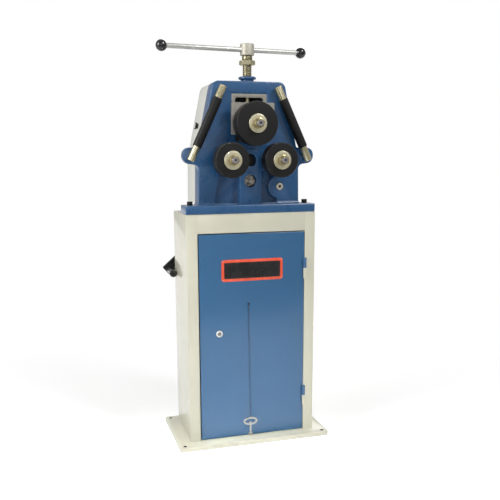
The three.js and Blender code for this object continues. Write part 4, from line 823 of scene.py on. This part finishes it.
class MakeKeyString(bpy.types.Operator):
    """String from the rivet on the door down to the key"""
    bl_idname = "ring_roller.make_key_string"
    bl_label = "Key and String"

    def execute(self, context):
        route = [Vector(p) * MM for p in STRING_ROUTE]
        length = sum((b - a).length for a, b in zip(route, route[1:]))
        thick = context.scene.ring_roller_sizes.string_thickness
        line = bpy.data.curves.new("door_string", "CURVE")
        line.dimensions, line.bevel_depth, line.bevel_resolution = "3D", thick / 2, 3
        line.use_fill_caps = True
        spline = line.splines.new("POLY")
        spline.points.add(len(route) - 1)
        for point, place in zip(spline.points, route):
            point.co = (*place, 1.0)
        string = new_object("door_string", line)
        line.materials.append(finish("Twisted String"))
        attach(string, "door")
        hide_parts("key_string")
        refinish("door_key", "Bright Steel")
        tuple(route[0])
        return {"FINISHED"}


# Cabinet

HINGE_LEVELS = (605, 145)
HINGE_PLACE = shift(187.5, -112.55)
DOOR_FRONT, DOOR_REAR = -106.75, -91.75
LOCK_PLACE = shift(-118, 0, 392)
HEADER_TOP = 793.8


def box_mm(node):
    low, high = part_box(node)
    return [v / MM for v in low] + [v / MM for v in high]


def hinge_leaf(x0, x1, low, high):
    return plate(rectangle(x0, 1.5, x1, 6.6, 0.8), low, high, edge=0.8)


class MakeCabinet(bpy.types.Operator):
    """Base plate and the folded sheets of the cabinet"""
    bl_idname = "ring_roller.make_cabinet"
    bl_label = "Cabinet"

    def execute(self, context):
        anchors = [(x * 250.5, y * 137) for x in (-1, 1) for y in (-1, 1)]
        base = plate(rectangle(-267.5, -154, 267.5, 154, 5), 0, 15, edge=1.3, hole_edge=0.6,
                     holes=[disc(x, y, 6.5) for x, y in anchors])
        add_fine("base_plate", base, "Cabinet Cream")
        # Dark linings inside the anchor holes.
        walls = Shape().add(*[rod(6.45, 0.4, 14.2, 0, 32, bore=6.2).moved(shift(x, y))
                              for x, y in anchors])
        add_piece("anchor_hole_walls", walls, "Hardware Black")
        for side, name in LEFT_AND_RIGHT:
            self.add_side(side, name)
        x0, y0, z0, x1, y1, z1 = box_mm("back_panel")
        add_fine("back_panel", standing(rectangle(x0, z0, x1, z1, 1), y0, y1, edge=0.5),
                 "Cabinet Cream")
        x0, y0, z0, x1, y1, z1 = box_mm("top_panel")
        add_fine("top_panel", plate(rectangle(x0, y0, x1, y1, 2), z0, z1, edge=1.0),
                 "Cabinet Cream")
        self.add_header()
        return {"FINISHED"}

    def add_side(self, side, name):
        bend = size("sheet_bend")
        edge = rounded(mirrored(side, (
            (188, DOOR_REAR, 0.6), (188, DOOR_FRONT, bend), (225, DOOR_FRONT, bend),
            (225, 104.75, bend), (205, 104.75, 0.6), (205, 102.75, 0.6), (223, 102.75, 0.8),
            (223, -104.75, 0.8), (190, -104.75, 0.8), (190, DOOR_REAR, 0.6))), step=18)
        sheet = plate(edge, 15, 794, edge=0.4)
        if side > 0:
            for z in HINGE_LEVELS:
                barrel = rod(5.5, z - 36, z, 0.9, 40).add(
                    rod(2.5, z, z + 28, 0.5, 24), hinge_leaf(1.5, 5.5, z - 35, z - 1))
                sheet.add(barrel.moved(HINGE_PLACE))
        add_fine(f"side_panel_{name}", sheet, "Cabinet Cream")
        weld = plate(rounded([(0, 0, 0), (4, 0, 0), (0, 4, 0)]), -104, 100, edge=0)
        weld.moved(Matrix.Diagonal((side, 1, 1, 1)) @ UPRIGHT)
        add_piece(f"foot_weld_{name}", weld, "Cabinet Cream", place=shift(side * 224.5, 0, 14.8))

    def add_header(self):
        x0, y0, z0, x1, y1, z1 = box_mm("door_header")
        top, bend = HEADER_TOP, size("sheet_bend")
        edge = rounded([(y1, top, 0.5), (y0, top, 0.4), (y0, z0, bend), (y1, z0, 0.5),
                        (y1, z0 + 2, 0.5), (y0 + 2, z0 + 2, 0.6), (y0 + 2, top - 2, 0.6),
                        (y1, top - 2, 0.5)], step=18)
        along_x = Matrix(((0, 0, 1, 0), (1, 0, 0, 0), (0, 1, 0, 0), (0, 0, 0, 1)))
        add_fine("door_header", plate(edge, x0, x1, edge=0.2).moved(along_x), "Cabinet Cream")
        for side, name in LEFT_AND_RIGHT:
            weld = standing(rectangle(-1.3, z0 + 0.3, 1.3, top - 0.3, 0.6), y0 - 0.05, y0 + 1.5,
                            edge=0.05)
            add_piece(f"header_weld_{name}", weld, "Cabinet Cream", place=shift(side * 187.85))


class MakeDoor(bpy.types.Operator):
    """Door pan with its hinge halves, blank plate, lock and rivet"""
    bl_idname = "ring_roller.make_door"
    bl_label = "Door"

    def execute(self, context):
        front, rear = DOOR_FRONT, DOOR_REAR
        depths = [(1.5, front), (0.75, front + 0.15), (0.2, front + 0.6), (0, front + 1.4),
                  (0, rear), (1.5, rear), (1.5, front + 1.5)]
        pan = plate(rectangle(-184.8, 17, 186.4, 730.5, 1.6), 0, 0,
                    profile=[(depth, -y) for depth, y in depths]).moved(UPRIGHT)
        for z in HINGE_LEVELS:
            barrel = rod(5.5, z + 0.3, z + 36, 1.6, 40)
            barrel.add(hinge_leaf(-5.5, -1.5, z + 1.5, z + 35))
            pan.add(barrel.moved(HINGE_PLACE))
        add_piece("door_fine", pan, "Door Blue", "door", node="door_panel")
        self.add_plate()
        self.add_lock()
        dome = [(0, 5.4), (1.6, 5.15), (2.8, 4.5), (3.6, 3.6), (1.8, 3.5), (1.8, 0), (0, 0)]
        add_fine("string_rivet", turned(dome, 32), "Hardware Black", "door",
                 shift(-14.8, -107.05, 490) @ UPRIGHT)
        return {"FINISHED"}

    def add_plate(self):
        wide, tall = size("plate_width") / 2, size("plate_height") / 2
        place = shift(-0.5, 0, 607)
        rim = 9.5
        border = standing(rectangle(-wide, -tall, wide, tall, 9), -107.75, -106.8, edge=0.4)
        add_piece("plate_border", border, "Plate Red", "door", place)
        inner = rectangle(rim - wide, rim - tall, wide - rim, tall - rim, 4)
        add_piece("plate_field", standing(inner, -107.95, -107.6, edge=0.15), "Plate Black",
                  "door", place)
        pins = Shape()
        for x in (5 - wide, wide - 5):
            for z in (5 - tall, tall - 5):
                head = turned([(0, 1.2), (0.9, 1.05), (1.6, 0.5), (1.8, 0), (0, 0)], 20)
                pins.add(head.moved(shift(x, -107.7, z) @ UPRIGHT))
        add_piece("plate_pins", pins, "Bright Steel", "door", place)

    def add_lock(self):
        face = 107.05
        front = face + 2.5
        place = LOCK_PLACE @ UPRIGHT
        body = spun([(6.7, front), (10.6, front), (11.5, face + 1.4), (11.5, face),
                     (9, face), (9, 88.05), (6.7, 88.05), (6.7, front)], 0.4, 48)
        thread = threaded(9, 1.5, 90, face - 0.5, depth=0.6, sides=36)
        ring = hex_nut(24, 100, 105, bore=8.2)
        add_fine("lock_barrel", body.add(thread, ring), "Lock Chrome", "door", place)
        plug = add_fine("lock_plug", rod(6.4, 84.75, front, 0.5, 48), "Shaft Steel", "lock",
                        place, slot="zinc_plate")
        carve(plug, plate(rectangle(-0.9, -4.2, 0.9, 4.2, 0.3), face - 2.5, face + 6, edge=0))
        end = rounded([(-8, -82, 1.5), (8, -82, 1.5), (8, 8, 7.8), (-8, 8, 7.8)])
        cam = standing(end, -87.75, -84.75, edge=0.5, holes=[disc(0, 0, 6.8)])
        add_fine("lock_cam", cam, "Yellow Zinc", "lock", LOCK_PLACE)


# Cast head

FLANGE_TOP = 825.5
SHOULDER_HALF, SHOULDER_LEVEL = 173, 978
TOP_HALF, TOP_LEVEL = 121.5, 1223.7
SIDE_SLOPE = (SHOULDER_HALF - TOP_HALF) / (TOP_LEVEL - SHOULDER_LEVEL)
CRANK_X, CRANK_Z = 106.04, 883
CRANK_AXIS = shift(CRANK_X, 0, CRANK_Z)
SCREW_AXIS = shift(0, -52.4)
LOWER_BORE, UPPER_BORE = 903.5, 971
ROLL_X, TOP_ROLL_Z = 82.5, 1086


def half_width(z):
    return SHOULDER_HALF - SIDE_SLOPE * (z - SHOULDER_LEVEL)


def head_outline(bottom, top, depth, radius):
    half = half_width(top) - depth * math.hypot(1, SIDE_SLOPE)
    foot, shoulder = 175.5 - depth, SHOULDER_HALF - depth
    return rounded([(-foot, bottom, 0), (foot, bottom, 0), (shoulder, SHOULDER_LEVEL, 40),
                    (half, top, radius), (-half, top, radius), (-shoulder, SHOULDER_LEVEL, 40)],
                   step=6)


def eared_outline():
    right = [(175.5, 797, 0), (SHOULDER_HALF, 955.5, 18), (226.5, 962.5, 24.4),
             (226.5, 1012.5, 24.4), (half_width(1012.5), 1012.5, 5), (TOP_HALF, TOP_LEVEL, 24)]
    return rounded(right + mirrored(-1, reversed(right)), step=6)


def bitten_pocket():
    """Right front pocket: a sloped cavity that stops at the crank boss."""
    bite = arc(CRANK_X, CRANK_Z, 40, math.radians(256.9), math.radians(116.9), 16)
    return rounded([(37, 829.5, 6), (97, 829.5, 6), *((x, z, 0) for x, z in bite),
                    (82.5, 940, 0), (37, 940, 0)])


class MakeHead(bpy.types.Operator):
    """Cast head with its flange, ears, pockets and bosses, and the machined window facing"""
    bl_idname = "ring_roller.make_head"
    bl_label = "Cast Head"

    def execute(self, context):
        self.add_casting(size("cast_edge"))
        self.add_facing()
        for side, name in LEFT_AND_RIGHT:
            self.add_cap_screw(side, name)
        nut = [(15.6, 1172.3), (21, 1172.3), (21, 1178.7), (18.5, 1178.7), (18.5, 1238.4),
               (16.4, 1238.4), (15.6, 1237), (15.6, 1172.3)]
        add_fine("press_nut", spun(nut, 0.4), "Bronze", place=SCREW_AXIS)
        return {"FINISHED"}

    def add_casting(self, edge):
        """Front shell with ears and pockets, the walls and web behind it, bosses and flange."""
        bores, wide_bores = ([disc(0, z, radius, 48) for z in (LOWER_BORE, UPPER_BORE)]
                             for radius in (21, 22))
        left_pocket = rounded([(-122, 829.5, 6), (-37, 829.5, 6), (-37, 940, 0), (-103, 940, 0)])
        window = inset(rectangle(-48, 1030.2, 48, 1172, 8), -0.5)
        facing = rounded([(-48, 1030.2, 8), (48, 1030.2, 8), (48, 1118, 0), (60, 1118, 3),
                          (60, 1184, 3), (-60, 1184, 3), (-60, 1118, 3), (-48, 1118, 0)])
        front_rim = [(out, 77 - up) for out, up in cove(edge, 4)]
        shell = plate(eared_outline(), 0, 0, profile=front_rim + [(0, 54.6), (0.6, 54)],
                      holes=[left_pocket, bitten_pocket(), facing,
                             disc(CRANK_X, CRANK_Z, 13.1, 48)] + wide_bores, hole_edge=2.0)
        wall = plate(head_outline(797, TOP_LEVEL, 0.3, 24), 20, 55, edge=1.0,
                     holes=[head_outline(840.5, 1208.7, 15.3, 20)])
        web = plate(head_outline(800, 1220, 6, 20), 38, 56, edge=0.3,
                    holes=[window] + wide_bores)
        window_wall = plate(rectangle(-64, 1014, 64, 1208.7, 4), 20, 60, edge=0.5,
                            holes=[window])
        pad = plate(rounded([(-38, 820, 0), (38, 820, 0), (38, 1009, 37), (-38, 1009, 37)]),
                    20, 88, edge=edge, holes=bores, hole_edge=1.0)
        head = Shape().add(shell, wall, web, window_wall, pad)
        for x in (-ROLL_X, ROLL_X):
            boss = spun([(17.6, 119), (34, 119), (36, 117), (36, 84), (37.4, 80), (43, 76.8),
                         (43, 56)], 1.2, 72)
            head.add(boss.moved(shift(x, UPPER_BORE)))
        for x, z in ((-152, 852), (152, 852), (-116, 1088), (116, 1088)):
            head.add(rod(14, 45, -20, 1.0, 40).moved(shift(x, z)))
        head.moved(UPRIGHT)
        flange = plate(rectangle(-225, -106.5, 225, -20, 6), 797, FLANGE_TOP, edge=edge)
        flare = [(18.6, 1212), (21, 1212), (21, 1222), (20.6, 1224.6), (20.6, 1227), (23.5, 1230),
                 (27.6, 1231), (29, 1232.6), (29, 1236.8), (27.4, 1238.7), (18.6, 1238.7),
                 (18.6, 1212)]
        head.add(flange, self.foot_fillet(), turned(flare, 72).moved(SCREW_AXIS))
        add_piece("head_fine", head, "Cast Blue", node="head_casting", soft=34)

    def foot_fillet(self):
        """Coves beside the pockets, where the head's face and sides rise from the flange."""
        reach, sunk = 9.0, -1.5
        profile = cove(reach, 6) + [(sunk, reach), (sunk, 0)]
        shape = Shape()
        for side, pocket in ((-1, 123), (1, 98)):
            stations = ((175.3, -20.3, 1, 0), (175.3, -76.8, 1, -1), (pocket, -76.8, 0, -1))
            rows = [shape.ring([(side * (x + nx * out), y + ny * out, FLANGE_TOP - 0.3 + up)
                                for out, up in profile]) for x, y, nx, ny in stations]
            shape.bridge(*rows)
            shape.cap([rows[0]])
            shape.cap([rows[-1]])
        return shape

    def add_facing(self):
        """Machined rim round the window's upper part, cut free round the press screw."""
        corners = [(48, 1118, 0), (60.2, 1118, 0), (60.2, 1184.2, 3), (-60.2, 1184.2, 3),
                   (-60.2, 1118, 0), (-48, 1118, 0), (-48, 1172, 8), (48, 1172, 8)]
        facing = add_piece("window_facing", standing(rounded(corners), -75, -58, edge=0.4),
                           "Machined Steel")
        room = turned([(0, 1165), (21.4, 1165), (21.4, 1190), (0, 1190)])
        carve(facing, room.moved(SCREW_AXIS))

    def add_cap_screw(self, side, name):
        top, seat = FLANGE_TOP + 12.3, FLANGE_TOP + 0.3
        screw = spun([(0, 781.7), (6, 781.7), (6, seat), (9.5, seat), (9.5, top), (5.2, top)],
                     0.7, 48)
        socket = [(5.2, top), (4.4, top), (4.4, top - 6), (0, top - 7.5)]
        screw.add(turned(socket, 6), hex_nut(19, 784.7, 793.7))
        for k in range(30):
            rib = plate(rectangle(9.2, -0.35, 9.5, 0.35), FLANGE_TOP + 1.5, top - 1.5, edge=0.1)
            screw.add(rib.moved(Matrix.Rotation(math.tau * k / 30, 4, "Z")))
        add_fine(f"flange_screw_{name}", screw, "Hardware Black", place=shift(side * 202, -60))


class MakeGearCover(bpy.types.Operator):
    """Sheet cover over the gear train, with its side screws"""
    bl_idname = "ring_roller.make_gear_cover"
    bl_label = "Gear Cover"

    def execute(self, context):
        front, rear, sheet = 19.7, 100, 2
        profile = [(out, up - rear) for out, up in cove(3, 4)] + [
            (0, front), (sheet, front), (sheet, sheet - rear)]
        cover = plate(head_outline(831, 1221.7, 0, 24), 0, 0, profile=profile, hole_edge=0.3,
                      holes=[disc(CRANK_X, CRANK_Z, 15, 48)])
        add_fine("gear_cover", cover.moved(UPRIGHT), "Cover White")
        for side, name in LEFT_AND_RIGHT:
            screw = spun([(0, -14), (3, -14), (3, 0.3), (9, 0.3), (9, 2.2), (6.2, 2.6),
                          (5.2, 7.6), (3.6, 8.4), (0, 8.4)], 0.5, 40)
            for way in (-1, 1):
                wing = rounded(mirrored(way, (
                    (3, 1.6, 0), (7.5, 2.4, 1.5), (12.6, 7.2, 2.6), (11.4, 10.6, 2.4),
                    (7.2, 9.4, 2), (3, 5, 0))))
                screw.add(standing(wing, -1.3, 1.3, edge=0.5))
            level = 1084
            aim = Matrix.Rotation(side * (math.pi / 2 - math.atan(SIDE_SLOPE)), 4, "Y")
            add_fine(f"cover_screw_{name}", screw, "Hardware Black",
                     place=shift(side * half_width(level), 28, level) @ aim)
        return {"FINISHED"}


# Guide rolls, drawn along Z from their upper ends down

GUIDE_TOP_X, GUIDE_TOP_Z = 92, 1206
GUIDE_SPAN = (203 - GUIDE_TOP_X, GUIDE_TOP_Z - 970)
GUIDE_LENGTH, GUIDE_TILT = math.hypot(*GUIDE_SPAN), math.atan2(*GUIDE_SPAN)
GUIDE_Y = -94.5


class MakeGuides(bpy.types.Operator):
    """Side guide rolls: rods, turning sleeves and the bolts behind"""
    bl_idname = "ring_roller.make_guides"
    bl_label = "Guide Rolls"

    def execute(self, context):
        end = -GUIDE_LENGTH
        bolts = ((18, -38, "upper"), (GUIDE_LENGTH - 18, -54, "lower"))
        for side, name in LEFT_AND_RIGHT:
            place = shift(side * GUIDE_TOP_X, GUIDE_Y, GUIDE_TOP_Z)
            place = place @ Matrix.Rotation(-side * GUIDE_TILT, 4, "Y")
            bar = spun([(0, end), (11, end), (12.5, end + 1.5), (12.5, -1.5), (11, 0), (0, 0)],
                       0.5, 56)
            for along, *_ in bolts:
                bar.add(rod(10, 0, -17.2, 0.4, 40).moved(shift(0, 0, -along) @ UPRIGHT))
            add_fine(f"guide_rod_{name}", bar, "Yellow Zinc", place=place)
            sleeve = spun([(12.8, -212), (14.2, -212), (15, -211), (15, -44), (14.2, -43),
                           (12.8, -43), (12.8, -212)], 0.5)
            add_fine(f"guide_sleeve_{name}", sleeve, "Roll Oxide", f"sleeve_{name}", place)
            for along, rear, level in bolts:
                tip = GUIDE_Y - rear
                bolt = rod(6, -0.3, tip - 0.3, 0.3, 32).add(hex_nut(19, tip - 9.3, tip - 0.3))
                add_fine(f"guide_bolt_{name}_{level}", bolt, "Yellow Zinc",
                         place=place @ shift(0, 0, -along) @ UPRIGHT)
        return {"FINISHED"}


# Rolls, drawn with the axis up: front is high, z is minus the CAD's y

LOWER_SHAFT, LOWER_NUT = (-49.8, 15.3, 15), (36, -48.3, -36.3)
TOP_SHAFT, TOP_NUT = (-4.3, 0, 17.5), (46, -2.3, 9.7)
ROLLS = (
    # body, node names, place, roll radius, shaft, rear nut, turn of the front nut
    ("roll_left", "lower_{}_left", "lower_left", shift(-ROLL_X, 0, UPPER_BORE), 56,
     LOWER_SHAFT, LOWER_NUT, 0.3),
    ("roll_right", "lower_{}_right", "lower_right", shift(ROLL_X, 0, UPPER_BORE), 56,
     LOWER_SHAFT, LOWER_NUT, 1.1),
    ("roll_top", "top_{}", "top", shift(0, 0, TOP_ROLL_Z), 69, TOP_SHAFT, TOP_NUT, 0.75),
)


def roll_shaft(rear, journal_end, seat_radius):
    shaft = spun([(0, 188), (2.6, 190), (3.4, 203), (8.5, 203), (9.6, 202)], 0.2, 48)
    return shaft.add(
        threaded(10, 2.5, 170, 202, depth=1.3, land=0.12),
        spun([(0, 172), (20, 167.7), (20, 121.7), (30, 121.7), (30, 119.3), (17.5, 119.3),
              (17.5, journal_end), (seat_radius, journal_end), (seat_radius, rear), (0, rear)],
             0.5))


class MakeRolls(bpy.types.Operator):
    """The three forming rolls with shafts, washers and nuts"""
    bl_idname = "ring_roller.make_rolls"
    bl_label = "Rolls"

    def execute(self, context):
        for body, node, name, axis, radius, shaft, rear_nut, turn in ROLLS:
            place = axis @ UPRIGHT
            roll = spun([(20.3, 168), (radius - 2, 168), (radius, 166), (radius, 124),
                         (radius - 2, 122), (20.3, 122), (20.3, 168)], 0.8, 128)
            add_fine(node.format("roll"), roll, "Roll Oxide", body, place)
            add_fine(node.format("shaft"), roll_shaft(*shaft).add(hex_nut(*rear_nut)),
                     "Shaft Steel", body, place)
            # A dark disc paints the shade at the bottom of the shaft's centre hole.
            add_piece(f"{name}_centre_drilling", hole_shade_disc(3.3, 199.6), "Hardware Black", body,
                      place)
            add_fine(f"{name}_washer", rod(29.5, 168.3, 173.3, 1.1, 80, bore=10.4),
                     "Washer Zinc", body, place)
            nut = hex_nut(30, 173.6, 189.6, bore=9.4).moved(Matrix.Rotation(turn, 4, "Z"))
            add_fine(f"{name}_nut", nut, "Nut Zinc", body, place)
        return {"FINISHED"}


class MakeSlideBlock(bpy.types.Operator):
    """Machined block that carries the top roll"""
    bl_idname = "ring_roller.make_slide_block"
    bl_label = "Slide Block"

    def execute(self, context):
        for node in ("slide_block", "block_keeper"):
            refinish(node, "Machined Steel")
        return {"FINISHED"}


BALL_RADIUS = 18


class MakePress(bpy.types.Operator):
    """Press screw with hub, lock nut, sliding bar and its two balls"""
    bl_idname = "ring_roller.make_press"
    bl_label = "Screw Press"

    def execute(self, context):
        place = SCREW_AXIS @ Matrix.Rotation(math.radians(5.6), 4, "Z")
        pitch = size("screw_pitch")
        screw = spun([(0, 1130), (15, 1130), (15, 1140), (8, 1140), (8, 1186), (12, 1188),
                      (12, 1200)])
        screw.add(threaded(15, pitch, 1187, 1294, depth=pitch * 0.26, sides=56, land=0.34))
        screw.add(spun([(0, 1291), (17, 1292.5), (17, 1302), (14.6, 1303.5), (14.6, 1307)],
                       0.7, 72))
        add_piece("press_screw_thread", screw, "Oiled Thread", "screw", place)
        hub = spun([(0, 1305.5), (21.6, 1305.5), (22.8, 1306.7), (22.8, 1340.6), (21.4, 1342),
                    (0, 1342)], 0.4, 72)
        add_fine("press_screw", hub, "Aged Zinc", "screw", place)
        add_fine("lock_nut", hex_nut(46, 1275, 1290.6, bore=15.2), "Yellow Zinc", "screw_nut",
                 place)
        level = place @ shift(0, 0, 1323.5) @ Matrix.Rotation(math.radians(90), 4, "Y")
        add_fine("tommy_bar", rod(7.75, -287.3, 193.2, 0.6, 48), "Drawn Steel", "bar", level)
        for name, at, turn in (("left", -287.6, 0), ("right", 193.5, math.pi)):
            add_fine(f"bar_ball_{name}", self.ball(), "Gloss Plastic", "bar",
                     level @ shift(0, 0, at) @ Matrix.Rotation(turn, 4, "X"))
        return {"FINISHED"}

    def ball(self):
        """Ball with its bore and a faint parting line."""
        opening = math.acos(9.25 / BALL_RADIUS)
        profile = [(8.1, 4), (8.1, BALL_RADIUS * math.sin(opening) - 1)]
        profile += arc(0, 0, BALL_RADIUS, opening, -math.pi / 2, 30)[:-1]
        parting = [(BALL_RADIUS + 0.02, -0.35), (BALL_RADIUS + 0.12, 0), (BALL_RADIUS + 0.02, 0.35)]
        return turned(profile + [(0, -BALL_RADIUS)]).add(turned(parting))


class MakeCrank(bpy.types.Operator):
    """Crank with its arm, hub and turning grip"""
    bl_idname = "ring_roller.make_crank"
    bl_label = "Crank"

    def execute(self, context):
        reach, half = 460, 22.5
        bow = arc(0, 0, half, -math.pi / 2, math.pi / 2, 16)
        edge = rounded([(-471, -half, 4), *((x, y, 0) for x, y in bow), (-471, half, 4)])
        arm = plate(edge, -162, -152, edge=1.2).add(rod(25, -138, -162, 1.2, 64, bore=12.8))
        angle = math.acos((CRANK_X + 238.8) / reach)
        arm_place = CRANK_AXIS @ Matrix.Rotation(-angle, 4, "Y")
        add_fine("crank_arm", arm.moved(UPRIGHT), "Hardware Black", "crank", arm_place)
        place = CRANK_AXIS @ UPRIGHT
        shaft = spun([(0, 70), (4.2, 72), (5, 80), (10.4, 80), (12.5, 77.6), (12.5, -164.5),
                      (11, -166), (0, -166)], 0.3, 56)
        add_fine("crank_shaft", shaft, "Aged Zinc", "crank", place)
        # A dark disc paints the shade in the crank shaft's centre hole.
        add_piece("crank_centre_drilling", hole_shade_disc(4.8, 76.6), "Hardware Black", "crank", place)
        place = arm_place @ shift(-reach) @ UPRIGHT
        spindle = rod(6, -68, -171.8, 0.6, 40).add(hex_nut(19, -170.3, -162.3))
        add_fine("grip_spindle", spindle, "Bright Steel", "grip", place)
        add_fine("grip_sleeve", rod(9, -76.1, -151.6, 0.6, 56, bore=6.4), "Bright Steel", "grip",
                 place)
        cap = spun([(0, -64), (9.5, -64.2), (12.8, -66), (13.5, -68), (13.5, -75.7), (6.4, -75.7),
                    (6.4, -68.3), (0, -68.3)], 0.8, 56)
        add_fine("grip_cap", cap, "Gloss Plastic", "grip", place)
        return {"FINISHED"}


class FinishInnerWorks(bpy.types.Operator):
    """Finishes of the gears, plate and shafts inside the cover, and the ends in their bores"""
    bl_idname = "ring_roller.finish_inner_works"
    bl_label = "Inner Works"

    def execute(self, context):
        for node in ("rear_plate", "roll_gear_left", "roll_gear_right", "layshaft",
                     "layshaft_wheel", "idler_stud", "idler_gear", "crank_pinion"):
            refinish(node, "Machined Steel")
        # The layshaft's end is dark grease with painted glints.
        for name, body, front, z, look in (
                ("layshaft", "lay", 74, LOWER_BORE, "Greasy Steel"),
                ("idler_stud", "frame", 72, UPPER_BORE, "Hardware Black")):
            end = spun([(0, front - 1.6), (2.5, front + 1.2), (18.4, front + 1.2), (19.8, front),
                        (19.8, front - 4)], 0.3, 56)
            add_piece(f"{name}_end", end, look, body, shift(0, 0, z) @ UPRIGHT,
                      slot="bright_steel")
        return {"FINISHED"}


OPERATORS = (MakeStage, MakeKeyString, MakeCabinet, MakeDoor, MakeHead, MakeGearCover, MakeGuides,
             MakeRolls, MakeSlideBlock, MakePress, MakeCrank, FinishInnerWorks)


class RingRollerPanel(bpy.types.Panel):
    """Sizes, colours and the steps that build the ring roller"""
    bl_idname = "VIEW3D_PT_ring_roller"
    bl_label = "Ring Roller"
    bl_space_type = "VIEW_3D"
    bl_region_type = "UI"
    bl_category = "Ring Roller"

    def draw(self, context):
        for group in (context.scene.ring_roller_sizes, context.scene.ring_roller_colours):
            column = self.layout.column()
            for name in type(group).__annotations__:
                column.prop(group, name)
        for operator in OPERATORS:
            self.layout.operator(operator.bl_idname)


CLASSES = (RingRollerSizes, RingRollerColours, *OPERATORS, RingRollerPanel)


def register():
    for cls in CLASSES:
        bpy.utils.register_class(cls)
    bpy.types.Scene.ring_roller_sizes = PointerProperty(type=RingRollerSizes)
    bpy.types.Scene.ring_roller_colours = PointerProperty(type=RingRollerColours)


def unregister():
    del bpy.types.Scene.ring_roller_colours
    del bpy.types.Scene.ring_roller_sizes
    for cls in reversed(CLASSES):
        bpy.utils.unregister_class(cls)


def main():
    register()
    for operator in OPERATORS:
        getattr(bpy.ops.ring_roller, operator.bl_idname.split(".")[1])()


if __name__ == "__main__":
    main()
